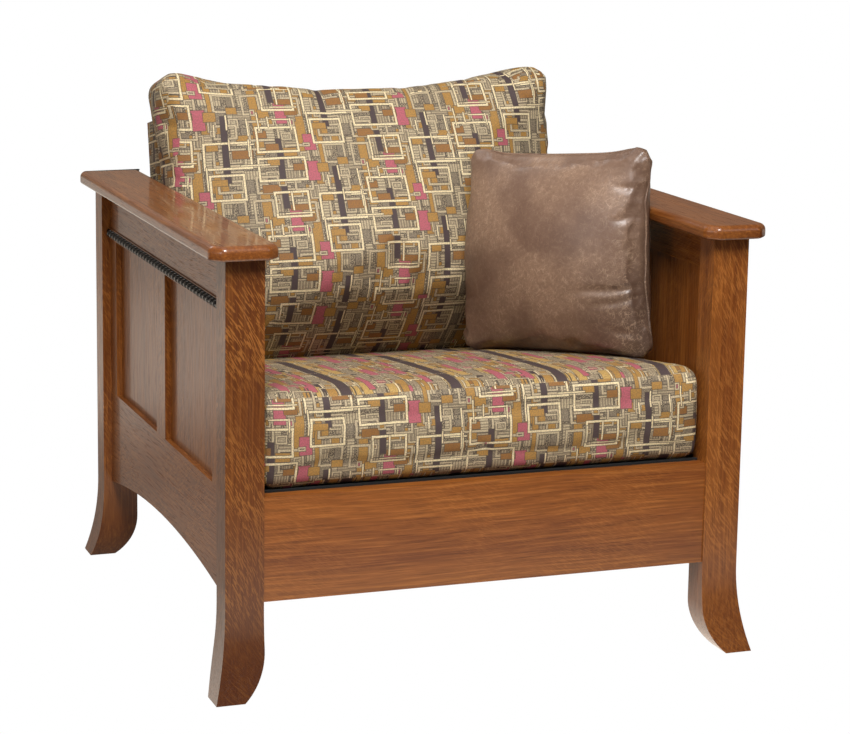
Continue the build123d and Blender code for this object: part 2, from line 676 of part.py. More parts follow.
foot_depth = cushion_back + CUSHION_FOOT_DEPTH
top_depth = cushion_back + CUSHION_TOP_DEPTH
middle_depth = cushion_back + CUSHION_MIDDLE_DEPTH
cushion_half = arm_clear_half + CUSHION_EAR_OVERHANG
foot_half = arm_clear_half - CUSHION_ARM_CLEARANCE
low_cut = cushion_foot(middle_depth) - OVERRUN

with BuildPart() as back_cushion:
    with BuildSketch(back_side.offset(-cushion_half - OVERRUN)) as cushion_profile:
        with BuildLine():
            Polyline(
                (CUSHION_EAR_HEIGHT, top_depth),
                (CUSHION_EAR_HEIGHT, cushion_back),
                (cushion_foot(cushion_back), cushion_back),
                (cushion_foot(foot_depth), foot_depth),
            )
            ThreePointArc(
                (cushion_foot(foot_depth), foot_depth),
                ((CUSHION_EAR_HEIGHT + cushion_foot(foot_depth)) / 2, middle_depth),
                (CUSHION_EAR_HEIGHT, top_depth),
            )
        make_face()
        fillet(nearest(cushion_profile, cushion_foot(foot_depth), foot_depth), CUSHION_FOOT_ROUND)
        fillet(cushion_profile.vertices().sort_by(Axis.X)[-2:], CUSHION_EDGE_ROUND)
    extrude(amount=2 * (cushion_half + OVERRUN))
    with BuildSketch(back_plane) as cushion_outline:
        with BuildLine():
            Polyline(
                (-cushion_half, CUSHION_EAR_HEIGHT),
                (-foot_half, low_cut),
                (foot_half, low_cut),
                (cushion_half, CUSHION_EAR_HEIGHT),
            )
            ThreePointArc(
                (cushion_half, CUSHION_EAR_HEIGHT),
                (0, CUSHION_EAR_HEIGHT - CUSHION_DIP),
                (-cushion_half, CUSHION_EAR_HEIGHT),
            )
        make_face()
        fillet(cushion_outline.vertices().sort_by(Axis.Y)[-2:], CUSHION_CORNER)
    extrude(amount=middle_depth + OVERRUN, mode=Mode.INTERSECT)
    with BuildSketch(back_above.offset(low_cut)) as cushion_plan:
        side_depth = cushion_back + CUSHION_SIDE_DEPTH
        plan_half = cushion_half + CUSHION_SIDE_EASE
        with BuildLine():
            Polyline(
                (-plan_half, -side_depth),
                (-plan_half, -cushion_back),
                (plan_half, -cushion_back),
                (plan_half, -side_depth),
            )
            ThreePointArc(
                (plan_half, -side_depth), (0, -middle_depth), (-plan_half, -side_depth)
            )
        make_face()
        fillet(cushion_plan.vertices(), CUSHION_CORNER)
    extrude(amount=CUSHION_EAR_HEIGHT - low_cut + OVERRUN, mode=Mode.INTERSECT)
save(back_cushion.part, "back_cushion")

# Throw pillow: lens-shaped sections lofted along its width, trimmed to drawn-in edges
yaw = radians(PILLOW_YAW)
pillow_lean = radians(PILLOW_LEAN)
roll = radians(PILLOW_ROLL)
pillow_x = arm_clear_half - PILLOW_ARM_OFFSET
pillow_y = -half_depth + PILLOW_FRONT_OFFSET
pillow_seat = deck_height(pillow_y) + (seat_top + SEAT_CROWN) / cos(slope)
pillow_middle = Vector(
    pillow_x, pillow_y, pillow_seat + PILLOW_LIFT + PILLOW_HEIGHT / 2 * cos(pillow_lean) / cos(roll)
)
pillow_facing = Vector(
    -sin(yaw) * cos(pillow_lean), -cos(yaw) * cos(pillow_lean), sin(pillow_lean)
)
level = Plane(pillow_middle, x_dir=(cos(yaw), -sin(yaw), 0), z_dir=pillow_facing)
pillow_along = level.x_dir * cos(roll) + level.y_dir * sin(roll)
pillow_plane = Plane(pillow_middle, x_dir=pillow_along, z_dir=pillow_facing)
pillow_half = PILLOW_WIDTH / 2
pillow_tall = PILLOW_HEIGHT / 2

sections = {
    -1.0: PILLOW_EDGE,
    -shoulder_place_share: PILLOW_THICKNESS * shoulder_thickness_share,
    0.0: PILLOW_THICKNESS,
    shoulder_place_share: PILLOW_THICKNESS * shoulder_thickness_share,
    1.0: PILLOW_EDGE,
}
with BuildPart() as throw_pillow:
    for place, fullness in sections.items():
        centre = pillow_middle + pillow_along * (place * pillow_half)
        with BuildSketch(Plane(centre, x_dir=pillow_plane.y_dir, z_dir=pillow_along)):
            edge = PILLOW_EDGE / 2
            belly = fullness / 2 + OVERRUN / 2
            with BuildLine():
                Line((-pillow_tall, -edge), (-pillow_tall, edge))
                ThreePointArc((-pillow_tall, edge), (0, belly), (pillow_tall, edge))
                Line((pillow_tall, edge), (pillow_tall, -edge))
                ThreePointArc((pillow_tall, -edge), (0, -belly), (-pillow_tall, -edge))
            make_face()
    loft()
    with BuildSketch(pillow_plane.offset(-PILLOW_THICKNESS)) as pillow_outline:
        with BuildLine():
            ThreePointArc(
                (-pillow_half, pillow_tall), (0, pillow_tall - PILLOW_DRAW), (pillow_half, pillow_tall)
            )
            ThreePointArc(
                (pillow_half, pillow_tall), (pillow_half - PILLOW_DRAW, 0), (pillow_half, -pillow_tall)
            )
            ThreePointArc(
                (pillow_half, -pillow_tall), (0, -pillow_tall + PILLOW_DRAW), (-pillow_half, -pillow_tall)
            )
            ThreePointArc(
                (-pillow_half, -pillow_tall), (-pillow_half + PILLOW_DRAW, 0), (-pillow_half, pillow_tall)
            )
        make_face()
        fillet(pillow_outline.vertices(), PILLOW_CORNER)
    extrude(amount=2 * PILLOW_THICKNESS, mode=Mode.INTERSECT)
save(throw_pillow.part, "throw_pillow")
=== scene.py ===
"""Looks of a panel-sided oak lounge chair with loose cushions and a throw pillow."""

import json
import logging
import math
from dataclasses import dataclass, field
from enum import Enum
from typing import Sequence

import bmesh
import bpy
import numpy as np
from mathutils import Matrix, Vector
from mathutils.geometry import convex_hull_2d

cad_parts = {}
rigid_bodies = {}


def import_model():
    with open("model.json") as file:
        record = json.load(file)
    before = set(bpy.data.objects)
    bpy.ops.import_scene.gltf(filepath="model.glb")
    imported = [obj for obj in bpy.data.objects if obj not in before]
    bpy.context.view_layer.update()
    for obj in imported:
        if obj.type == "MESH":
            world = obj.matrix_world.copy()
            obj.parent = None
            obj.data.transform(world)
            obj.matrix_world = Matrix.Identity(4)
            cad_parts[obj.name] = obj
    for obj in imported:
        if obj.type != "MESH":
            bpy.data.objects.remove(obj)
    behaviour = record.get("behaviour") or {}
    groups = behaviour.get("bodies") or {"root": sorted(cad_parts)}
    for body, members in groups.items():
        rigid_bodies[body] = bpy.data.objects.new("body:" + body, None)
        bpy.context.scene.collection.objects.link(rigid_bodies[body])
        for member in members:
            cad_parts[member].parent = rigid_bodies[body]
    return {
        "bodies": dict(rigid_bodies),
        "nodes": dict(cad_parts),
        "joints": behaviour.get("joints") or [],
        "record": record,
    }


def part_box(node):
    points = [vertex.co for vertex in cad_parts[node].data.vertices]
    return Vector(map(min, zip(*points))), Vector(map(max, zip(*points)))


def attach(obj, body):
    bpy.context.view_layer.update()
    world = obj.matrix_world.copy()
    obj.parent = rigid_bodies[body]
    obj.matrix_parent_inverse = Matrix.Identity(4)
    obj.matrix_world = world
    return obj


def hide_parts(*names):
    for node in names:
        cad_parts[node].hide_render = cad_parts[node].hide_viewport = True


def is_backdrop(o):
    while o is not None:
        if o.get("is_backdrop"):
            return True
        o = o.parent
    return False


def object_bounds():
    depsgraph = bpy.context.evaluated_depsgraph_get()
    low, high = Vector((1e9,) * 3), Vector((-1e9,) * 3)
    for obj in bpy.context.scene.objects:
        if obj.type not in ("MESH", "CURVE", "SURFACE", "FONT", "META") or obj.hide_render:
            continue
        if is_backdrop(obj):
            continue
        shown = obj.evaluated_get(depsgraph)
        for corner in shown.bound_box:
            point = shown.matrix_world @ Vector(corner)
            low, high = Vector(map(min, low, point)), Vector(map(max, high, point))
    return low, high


log = logging.getLogger("chair")

Colour = tuple[float, float, float, float]
Nodes = dict[str, bpy.types.Object]
MM_PER_METRE = 1000.0
FAR_OUT = 500.0
HALF = (0.5, 0.5, 0.5)
EASED_ANGLE = math.radians(40.0)
CLOTH_MAP = "cloth"
RECLINE = math.radians(12.0)


def rgb(red: float, green: float, blue: float) -> Colour:
    """An opaque colour.

    Args:
        red, green, blue: linear parts from 0 to 1.

    Returns:
        The colour with full alpha.
    """
    return (red, green, blue, 1.0)


WHITE = rgb(1.0, 1.0, 1.0)


class Grain(Enum):
    """The axis along which a board's grain runs."""

    ACROSS = 0
    DEPTH = 1
    UPRIGHT = 2


class Board(Enum):
    """The oak boards that the chair is cut from: rays, tint and lacquer of each."""

    CALM = (0.20, 1.0, 0.30)
    FLECKED = (1.00, 0.49, 0.30)
    RAYED = (0.35, 0.92, 0.30)
    LEFT_ARM = (0.15, 0.80, 0.75)
    # The right arm's darker tint is painted shade, standing in for the dark surroundings its top mirrors.
    RIGHT_ARM = (0.15, 0.72, 0.30)

    def __init__(self, fleck: float, tint: float, coat: float) -> None:
        """Names the board's values.

        Args:
            fleck: strength of its ray flecks.
            tint: 1 for the plain stain, less for a darker one.
            coat: weight of the lacquer's gloss.
        """
        self.fleck = fleck
        self.tint = tint
        self.coat = coat


class Side(Enum):
    """The chair's left or right, as the photograph shows it."""

    LEFT = "left"
    RIGHT = "right"


class Part(Enum):
    """Patch of a cushion's cover, by the way it faces."""

    FACE = "face"
    EDGE = "edge"
    SIDE = "side"


class Signal:
    """A shader socket that can be used in sums."""

    def __init__(self, graph: "Graph", socket: bpy.types.NodeSocket) -> None:
        """Wraps one socket of a graph."""
        self.graph = graph
        self.socket = socket

    def _math(self, operation: str, *others: "Signal | float", swap: bool = False) -> "Signal":
        """Runs a Math node on this signal and others.

        Args:
            operation: the Math node's operation.
            others: the other operands.
            swap: put this signal last.

        Returns:
            The result.
        """
        operands = [self, *others]
        if swap:
            operands.reverse()
        return self.graph.node("ShaderNodeMath", {"operation": operation}, dict(enumerate(operands)))

    def __add__(self, other: "Signal | float") -> "Signal":
        """Sum."""
        return self._math("ADD", other)

    __radd__ = __add__

    def __sub__(self, other: "Signal | float") -> "Signal":
        """Difference."""
        return self._math("SUBTRACT", other)

    def __rsub__(self, other: "Signal | float") -> "Signal":
        """Difference with this signal last."""
        return self._math("SUBTRACT", other, swap=True)

    def __mul__(self, other: "Signal | float") -> "Signal":
        """Product."""
        return self._math("MULTIPLY", other)

    __rmul__ = __mul__

    def __truediv__(self, other: "Signal | float") -> "Signal":
        """Quotient."""
        return self._math("DIVIDE", other)

    def __rtruediv__(self, other: "Signal | float") -> "Signal":
        """Quotient with this signal last."""
        return self._math("DIVIDE", other, swap=True)

    def __mod__(self, other: "Signal | float") -> "Signal":
        """Remainder that is never negative."""
        return self._math("FLOORED_MODULO", other)

    def __rmod__(self, other: "Signal | float") -> "Signal":
        """Remainder with this signal last."""
        return self._math("FLOORED_MODULO", other, swap=True)

    def __lt__(self, other: "Signal | float") -> "Signal":
        """1 where this signal is the smaller."""
        return self._math("LESS_THAN", other)

    def __gt__(self, other: "Signal | float") -> "Signal":
        """1 where this signal is the greater."""
        return self._math("GREATER_THAN", other)

    def most(self, other: "Signal | float") -> "Signal":
        """The greater of two."""
        return self._math("MAXIMUM", other)

    def floor(self) -> "Signal":
        """The whole number below."""
        return self._math("FLOOR")

    def sine(self) -> "Signal":
        """Sine of an angle in radians."""
        return self._math("SINE")

    def ramp(self, low: float, high: float) -> "Signal":
        """Smooth step.

        Args:
            low: value that gives 0.
            high: value that gives 1.

        Returns:
            A signal from 0 to 1.
        """
        return self.graph.node(
            "ShaderNodeMapRange",
            {"interpolation_type": "SMOOTHSTEP", "clamp": True},
            {0: self, 1: low, 2: high},
        )


class Graph:
    """The node tree of one material, or of the world."""

    def __init__(self, name: str, world: bool = False) -> None:
        """Starts a material or the world.

        Args:
            name: its name.
            world: make the world instead of a material.
        """
        self.owner = bpy.data.worlds.new(name) if world else bpy.data.materials.new(name)
        self.owner.use_nodes = True
        self.tree = self.owner.node_tree
        self.surface = self.tree.nodes["Background" if world else "Principled BSDF"]

    def node(
        self,
        kind: str,
        settings: dict[str, object] | None = None,
        values: dict[int | str, object] | None = None,
        output: int | str = 0,
    ) -> Signal:
        """Adds one node.

        Args:
            kind: the node's type name.
            settings: attributes to set on the node.
            values: signals or plain values for its inputs.
            output: the output wanted.

        Returns:
            That output as a signal.
        """
        made = self.tree.nodes.new(kind)
        for name, setting in (settings or {}).items():
            setattr(made, name, setting)
        for name, value in (values or {}).items():
            self.feed(made.inputs[name], value)
        return Signal(self, made.outputs[output])

    def feed(self, socket: bpy.types.NodeSocket, value: object) -> None:
        """Links a signal to a socket, or sets a plain value on it.

        Args:
            socket: the input.
            value: the signal or the value.
        """
        if isinstance(value, Signal):
            self.tree.links.new(value.socket, socket)
        else:
            socket.default_value = value

    def vector(self, operation: str, *operands: object, output: int | str = 0) -> Signal:
        """Runs a Vector Math node."""
        return self.node("ShaderNodeVectorMath", {"operation": operation}, dict(enumerate(operands)), output)

    def mix(self, factor: "Signal | float", low: object, high: object) -> Signal:
        """Blends two colours.

        Args:
            factor: 0 gives low and 1 gives high.
            low, high: colours or signals.

        Returns:
            The blend.
        """
        settings = {"data_type": "RGBA", "clamp_factor": True}
        return self.node("ShaderNodeMix", settings, {0: factor, 6: low, 7: high}, 2)

    def blend(self, factor: "Signal | float", low: Signal, high: Signal) -> Signal:
        """Mixes two shaders.

        Args:
            factor: 0 gives low and 1 gives high.
            low, high: the shaders.

        Returns:
            The mixed shader.
        """
        return self.node("ShaderNodeMixShader", values={0: factor, 1: low, 2: high})

    def split(self, vector: Signal) -> tuple[Signal, ...]:
        """The three parts of a vector."""
        made = self.node("ShaderNodeSeparateXYZ", values={0: vector}).socket.node
        return tuple(Signal(self, out) for out in made.outputs)

    def join(self, x: object, y: object, z: object = 0.0) -> Signal:
        """A vector from three parts."""
        return self.node("ShaderNodeCombineXYZ", values={0: x, 1: y, 2: z})

    def noise(self, place: Signal, scale: float, detail: float = 2.0, rough: float = 0.5) -> Signal:
        """Smooth noise.

        Args:
            place: where it is read.
            scale: cells per metre.
            detail: octaves.
            rough: weight of the finer octaves.

        Returns:
            A signal round one half.
        """
        values = {"Vector": place, "Scale": scale, "Detail": detail, "Roughness": rough}
        return self.node("ShaderNodeTexNoise", values=values)

    def bump(self, height: Signal, strength: float, distance: float) -> Signal:
        """A normal bent by a height."""
        return self.node("ShaderNodeBump", values={"Height": height, "Strength": strength, "Distance": distance})

    def place(self) -> Signal:
        """Position in the object's own frame."""
        return self.node("ShaderNodeTexCoord", output="Object")

    def cover(self) -> Signal:
        """Position on the cloth, in metres, from the UV map."""
        return self.node("ShaderNodeTexCoord", output="UV")

    def finish(self, **inputs: object) -> bpy.types.Material | bpy.types.World:
        """Feeds the surface shader.

        Args:
            inputs: values or signals by input name, with _ for a space.

        Returns:
            The material, or the world.
        """
        for name, value in inputs.items():
            self.feed(self.surface.inputs[name.replace("_", " ")], value)
        return self.owner


@dataclass(frozen=True)
class PlainFinish:
    """A surface of one colour with faint mottling."""

    name: str
    colour: Colour
    shade: Colour
    roughness: float = 0.6
    scale: float = 60.0
    bumps: float = 0.3
    relief: float = 0.0005

    def build(self) -> bpy.types.Material:
        """Mottles the colour.

        Returns:
            The material.
        """
        graph = Graph(self.name)
        cloud = graph.noise(graph.place(), self.scale, 4.0, 0.6)
        return graph.finish(
            Base_Color=graph.mix(cloud, self.shade, self.colour),
            Roughness=self.roughness,
            Normal=graph.bump(cloud, self.bumps, self.relief),
        )


@dataclass(frozen=True)
class OakFinish:
    """Stained, quarter-sawn oak under a satin lacquer, with scales in cells per metre."""

    name: str
    grain: Grain
    seed: float
    board: Board
    dark: Colour = rgb(0.040, 0.009, 0.002)
    middle: Colour = rgb(0.150, 0.038, 0.006)
    light: Colour = rgb(0.265, 0.082, 0.013)
    ray: Colour = rgb(0.55, 0.210, 0.043)
    slant: float = 0.50
    lines: float = 0.30
    glints: float = 0.25
    pitting: float = 0.35
    # Painted shade: the wood darkens below this height, by up to this share.
    foot_height: float = 0.26
    foot_shade: float = 0.35
    coat_roughness: float = 0.08
    roughness: float = 0.38
    shine: float = 0.3
    wander: float = 0.03
    wander_scale: float = 7.0
    figure_scale: float = 26.0
    line_scale: float = 330.0
    pore_scale: float = 900.0
    ray_scale: float = 660.0
    cloud_scale: float = 6.0
    pore_depth: float = 0.0003
    pore_dullness: float = 0.25

    def build(self) -> bpy.types.Material:
        """Draws figure, grain lines, ray flecks and pores along the grain, and painted shade low down near the
        floor.

        Returns:
            The material.
        """
        graph = Graph(self.name)
        moved = graph.vector("ADD", graph.place(), (self.seed, self.seed * 1.7, self.seed * 0.6))
        parts = list(graph.split(moved))
        along = parts.pop(self.grain.value)
        first, second = parts
        bend = (graph.noise(graph.join(first, second, along * 0.25), self.wander_scale) - 0.5) * self.wander
        side, other = first + bend, second + bend
        figure = graph.noise(graph.join(side, other, along * 0.05), self.figure_scale, 4.0, 0.6)
        lines = graph.noise(graph.join(side, other, along * 0.028), self.line_scale, 3.0, 0.62)
        pores = graph.noise(graph.join(side, other, along * 0.022), self.pore_scale, 1.0).ramp(0.56, 0.70)
        leaning = side + other + along * self.slant
        rays = graph.noise(graph.join(leaning, other * 0.1, along * 0.12), self.ray_scale, 1.0)
        cloud = graph.noise(moved, self.cloud_scale).ramp(0.30, 0.65)
        tone = graph.mix(figure.ramp(0.22, 0.80), self.middle, self.light)
        tone = graph.mix(lines.ramp(0.44, 0.66) * self.lines, tone, self.dark)
        tone = graph.mix(lines.ramp(0.50, 0.30) * self.glints, tone, self.ray)
        tone = graph.mix(rays.ramp(0.54, 0.575) * cloud * self.board.fleck, tone, self.ray)
        tone = graph.mix(pores * self.pitting, tone, self.dark)
        # The board's darker stain, plus painted shade that grows towards the floor below foot_height.
        _, _, height = graph.split(graph.place())
        shade = height.ramp(self.foot_height, 0.0) * self.foot_shade + (1.0 - self.board.tint)
        return graph.finish(
            Base_Color=graph.mix(shade, tone, self.dark),
            Roughness=self.roughness + pores * self.pore_dullness,
            Specular_IOR_Level=self.shine,
            Coat_Weight=self.board.coat,
            Coat_Roughness=self.coat_roughness,
            Normal=graph.bump(1.0 - pores, 0.2, self.pore_depth),
        )


@dataclass(frozen=True)
class Weft:
    """One set of woven rectangles, one to each cell of the repeat, in millimetres."""

    columns: int
    rows: int
    least: tuple[float, float]
    most: tuple[float, float]
    share: float
    fills: tuple[str, ...] = ()
    line: str = ""
    thick: float = 0.0
    drop: tuple[float, float] = (0.0, 0.0)


@dataclass(frozen=True)
class JacquardFinish:
    """Geometric jacquard: sets of overlapping rectangles on a half-drop repeat."""

    name: str
    repeat: tuple[float, float] = (158.0, 164.0)
    outline: float = 0.75
    palette: dict[str, Colour] = field(
        default_factory=lambda: {
            "cream": rgb(0.71, 0.575, 0.34),
            "pale": rgb(0.45, 0.355, 0.215),
            "stone": rgb(0.345, 0.265, 0.160),
            "grey": rgb(0.25, 0.195, 0.125),
            "rust": rgb(0.245, 0.103, 0.018),
            "ochre": rgb(0.340, 0.175, 0.034),
            # Painted golden sheen, used on the seat top only.
            "sheen_gold": rgb(0.440, 0.270, 0.075),
            "berry": rgb(0.390, 0.085, 0.110),
            "plum": rgb(0.045, 0.025, 0.027),
            "ink": rgb(0.065, 0.045, 0.029),
        }
    )
    wefts: tuple[Weft, ...] = (
        Weft(9, 5, (11, 24), (17, 32), 1.0, ("stone", "pale", "grey")),
        Weft(4, 9, (26, 9), (39, 16), 0.50, ("pale", "stone", "ochre"), drop=(0.18, 0.52)),
        Weft(5, 1, (9, 100), (16, 150), 0.75, ("ochre", "stone", "ochre", "pale"), drop=(0.27, 0.81)),
        Weft(6, 6, (13, 10), (26, 24), 0.45, ("stone", "ochre", "pale"), "pale", 2.3, (0.31, 0.17)),
        Weft(3, 4, (28, 20), (50, 38), 0.80, (), "pale", 3.2, (0.62, 0.71)),
        Weft(3, 1, (8, 80), (12, 130), 0.8, ("plum", "berry"), drop=(0.05, 0.40)),
        Weft(4, 3, (11, 22), (20, 44), 0.60, ("berry", "stone", "berry"), drop=(0.10, 0.62)),
        Weft(4, 6, (17, 8), (32, 15), 0.48, ("ochre", "rust"), drop=(0.47, 0.09)),
        Weft(6, 5, (7, 7), (16, 15), 0.34, ("pale", "ochre", "berry"), "pale", 2.0, (0.11, 0.33)),
        Weft(2, 3, (50, 28), (76, 48), 0.88, (), "cream", 3.0, (0.22, 0.88)),
        Weft(3, 7, (18, 3.2), (46, 3.6), 0.22, ("cream",), drop=(0.39, 0.27)),
        Weft(8, 4, (3.4, 16), (3.8, 38), 0.30, ("cream",), drop=(0.74, 0.64)),
    )
    runs: tuple[Weft, ...] = ()
    runs_edge: tuple[float, float] = (4.0, 12.0)
    weft_seeds: tuple[float, float] = (1.3, 3.7)
    run_seeds: tuple[float, float] = (2.9, 5.3)
    shuffle: tuple[float, float, float] = (7.3, 7.3, 7.3)
    fill_shuffle: float = 11.0
    woven: tuple[str, ...] = ("stone", "grey", "pale")
    woven_least: float = 0.45
    speckle_scale: float = 0.62
    speckle: float = 0.7
    stripe: float = 1.5
    stripe_edge: float = 0.3
    warp: float = 4.2
    filling: float = 5.0
    yarn: float = 0.25
    yarn_scale: float = 0.9
    wear: float = 0.38
    wear_scale: float = 0.55
    bumps: float = 0.35
    roughness: float = 0.72
    relief: float = 0.0006

    def build(self) -> bpy.types.Material:
        """Weaves every set, and the long runs where the cloth lies flat on the seat top: woven pattern, with
        painted golden sheen in the gold ones.

        Returns:
            The material.
        """
        graph = Graph(self.name)
        ink, pale = self.palette["ink"], self.palette["pale"]
        spot = graph.vector("MULTIPLY", graph.cover(), (MM_PER_METRE, MM_PER_METRE, MM_PER_METRE))
        x, y, _ = graph.split(spot)
        speckle = graph.noise(spot, self.speckle_scale, 1.0).ramp(0.47, 0.56)
        stripes = ((way * self.stripe).sine().ramp(-self.stripe_edge, self.stripe_edge) for way in (x, y))
        weave = (*stripes, speckle)
        tone = graph.mix(speckle * self.speckle, ink, pale)
        for number, weft in enumerate(self.wefts):
            seed = number * self.weft_seeds[1] + self.weft_seeds[0]
            tone = self._weave(graph, tone, (x, y), weft, seed, weave)
        plain = tone
        for number, weft in enumerate(self.runs):
            seed = number * self.run_seeds[1] + self.run_seeds[0]
            tone = self._weave(graph, tone, (x, y), weft, seed, weave)
        if self.runs:
            # The runs lie only on the top, past runs_edge; their gold is painted sheen, the rest woven pattern.
            tone = graph.mix(y.ramp(*self.runs_edge), plain, tone)
        darkening = graph.noise(spot, self.wear_scale).ramp(0.60, 0.40) * self.wear
        yarns = ((x * self.warp).sine() + (y * self.filling).sine()) * self.yarn
        return graph.finish(
            Base_Color=graph.mix(darkening, tone, ink),
            Roughness=self.roughness,
            Normal=graph.bump(yarns + graph.noise(spot, self.yarn_scale), self.bumps, self.relief),
        )

    def _weave(
        self,
        graph: Graph,
        ground: Signal,
        place: tuple[Signal, Signal],
        weft: Weft,
        seed: float,
        weave: Sequence[Signal],
    ) -> Signal:
        """Weaves one set of rectangles over the ground.

        Args:
            graph: the material's nodes.
            ground: the colour so far.
            place: position on the cloth in millimetres.
            weft: the set.
            seed: picks the sizes and places.
            weave: upright stripes, level stripes and speckle.

        Returns:
            The colour with the set woven in.
        """
        wide, tall = self.repeat
        cell = (wide / weft.columns, tall / weft.rows, 1.0)
        across = place[0] / wide + weft.drop[0]
        turn = across.floor()
        up = (place[1] / tall + weft.drop[1] + (turn % 2.0) * 0.5) % 1.0
        cells = graph.vector("MULTIPLY", graph.join(across - turn, up), (weft.columns, weft.rows, 1.0))
        inside = graph.vector("SUBTRACT", graph.vector("FRACTION", cells), (0.5, 0.5, 0.0))
        marked = graph.vector("ADD", graph.vector("FLOOR", cells), (seed, seed, seed))
        chance = graph.node("ShaderNodeTexWhiteNoise", values={"Vector": marked}, output="Color")
        spread = tuple(high - low for low, high in zip(weft.least, weft.most))
        size = graph.vector("MULTIPLY_ADD", chance, (*spread, 0.0), (*weft.least, 0.0))
        slide = graph.vector("FRACTION", graph.vector("MULTIPLY", chance, self.shuffle))
        slide = graph.vector("SUBTRACT", slide, HALF)
        offset = graph.vector("MULTIPLY", slide, graph.vector("SUBTRACT", cell, size))
        away = graph.vector("SUBTRACT", graph.vector("MULTIPLY", inside, cell), offset)
        away = graph.vector("MULTIPLY_ADD", size, (-0.5, -0.5, 0.0), graph.vector("ABSOLUTE", away))
        far_x, far_y, _ = graph.split(away)
        luck = graph.split(chance)[2]
        reach = far_x.most(far_y) + (luck > weft.share) * FAR_OUT
        inner = self.outline
        tone = graph.mix(reach < 0.0, ground, self.palette["ink"])
        if weft.line:
            tone = graph.mix(reach < -inner, tone, self.palette[weft.line])
            inner += weft.thick
            tone = graph.mix(reach < -inner, tone, self.palette["ink"])
            inner += self.outline
        return graph.mix(reach < -inner, tone, self._fill(graph, ground, weft, luck, weave))

    def _fill(self, graph: Graph, ground: Signal, weft: Weft, luck: Signal, weave: Sequence[Signal]) -> Signal:
        """The colour inside a set's rectangles, picked by chance; open ones show the ground.

        Args:
            graph: the material's nodes.
            ground: the colour so far.
            weft: the set.
            luck: chance of each rectangle.
            weave: upright stripes, level stripes and speckle.

        Returns:
            The colour.
        """
        if not weft.fills:
            return ground
        pick = (luck * self.fill_shuffle) % 1.0
        tone: object = None
        for number, name in enumerate(weft.fills):
            colour: object = self.palette[name]
            if name in self.woven:
                share = weave[number % 3] * (1.0 - self.woven_least) + self.woven_least
                colour = graph.mix(share, self.palette["ink"], colour)
            tone = colour if tone is None else graph.mix(pick > number / len(weft.fills), tone, colour)
        return tone


@dataclass(frozen=True)
class LeatherFinish:
    """Distressed leather: mottled taupe with fine pale crackle in drifts."""

    name: str
    dark: Colour = rgb(0.062, 0.034, 0.022)
    deep: Colour = rgb(0.125, 0.068, 0.043)
    body: Colour = rgb(0.205, 0.122, 0.080)
    tan: Colour = rgb(0.270, 0.165, 0.103)
    scuff: Colour = rgb(0.42, 0.285, 0.19)
    tanned: float = 0.55
    mottled: float = 0.38
    # Strength of the painted shade over the pillow's lower right and right edge.
    darkening: float = 0.62
    cracked: tuple[float, float] = (0.12, 0.30)
    stroked: float = 0.30
    swirl: tuple[float, float, float] = (0.02, 0.02, 0.02)
    swirl_scale: float = 30.0
    cloud_scale: float = 8.0
    fine_scale: float = 150.0
    drift_scale: float = 9.0
    stroke_scale: float = 420.0
    cracks: tuple[tuple[float, tuple[float, float, float]], ...] = (
        (240.0, (1.0, 0.40, 1.0)),
        (520.0, (0.5, 1.0, 1.0)),
    )
    crack_gap: tuple[float, float] = (0.09, 0.01)
    roughness: float = 0.33
    dullness: float = 0.18
    coat: float = 0.12
    coat_roughness: float = 0.32
    bumps: float = 0.3
    crack_depth: float = 0.3
    relief: float = 0.0009

    def build(self) -> bpy.types.Material:
        """Lays mottling, drifts of crackle and scuffs over the hide, and painted shade over its lower right and
        right edge.

        Returns:
            The material.
        """
        graph = Graph(self.name)
        place = graph.cover()
        x, y, _ = graph.split(place)
        values = {"Vector": place, "Scale": self.swirl_scale, "Detail": 3.0}
        swirl = graph.node("ShaderNodeTexNoise", values=values, output="Color")
        swirl = graph.vector("MULTIPLY", graph.vector("SUBTRACT", swirl, HALF), self.swirl)
        bent = graph.vector("ADD", place, swirl)
        cloud = graph.noise(bent, self.cloud_scale, 4.0, 0.62)
        fine = graph.noise(bent, self.fine_scale, 4.0, 0.7)
        drift = graph.noise(place, self.drift_scale).ramp(0.42, 0.62)
        crackle: Signal | float = 0.0
        for size, stretch in self.cracks:
            web = graph.node(
                "ShaderNodeTexVoronoi",
                {"feature": "DISTANCE_TO_EDGE"},
                {"Vector": graph.vector("MULTIPLY", bent, stretch), "Scale": size},
            )
            patches = graph.noise(place, size * 0.4, 1.0).ramp(0.47, 0.62)
            crackle = web.ramp(*self.crack_gap) * patches + crackle
        slanting = graph.join((x + y * 0.6) * 0.12, y - x * 0.6 + fine * 0.004)
        strokes = graph.noise(slanting, self.stroke_scale).ramp(0.60, 0.68)
        tone = graph.mix(cloud.ramp(0.32, 0.66), self.deep, self.body)
        tone = graph.mix(drift * self.tanned, tone, self.tan)
        tone = graph.mix(fine.ramp(0.62, 0.38) * self.mottled, tone, self.deep)
        # Painted shade: darker over the lower right and along the right edge, where the pillow turns from the
        # light.
        darkening = x.ramp(0.02, 0.15) * y.ramp(0.06, -0.11) + x.ramp(0.12, 0.17) * 0.45
        tone = graph.mix(darkening * self.darkening, tone, self.dark)
        tone = graph.mix(crackle * (drift * self.cracked[1] + self.cracked[0]), tone, self.scuff)
        tone = graph.mix(strokes * drift * self.stroked, tone, self.scuff)
        return graph.finish(
            Base_Color=tone,
            Roughness=self.roughness + fine * self.dullness,
            Coat_Weight=self.coat,
            Coat_Roughness=self.coat_roughness,
            Normal=graph.bump(fine - crackle * self.crack_depth, self.bumps, self.relief),
        )


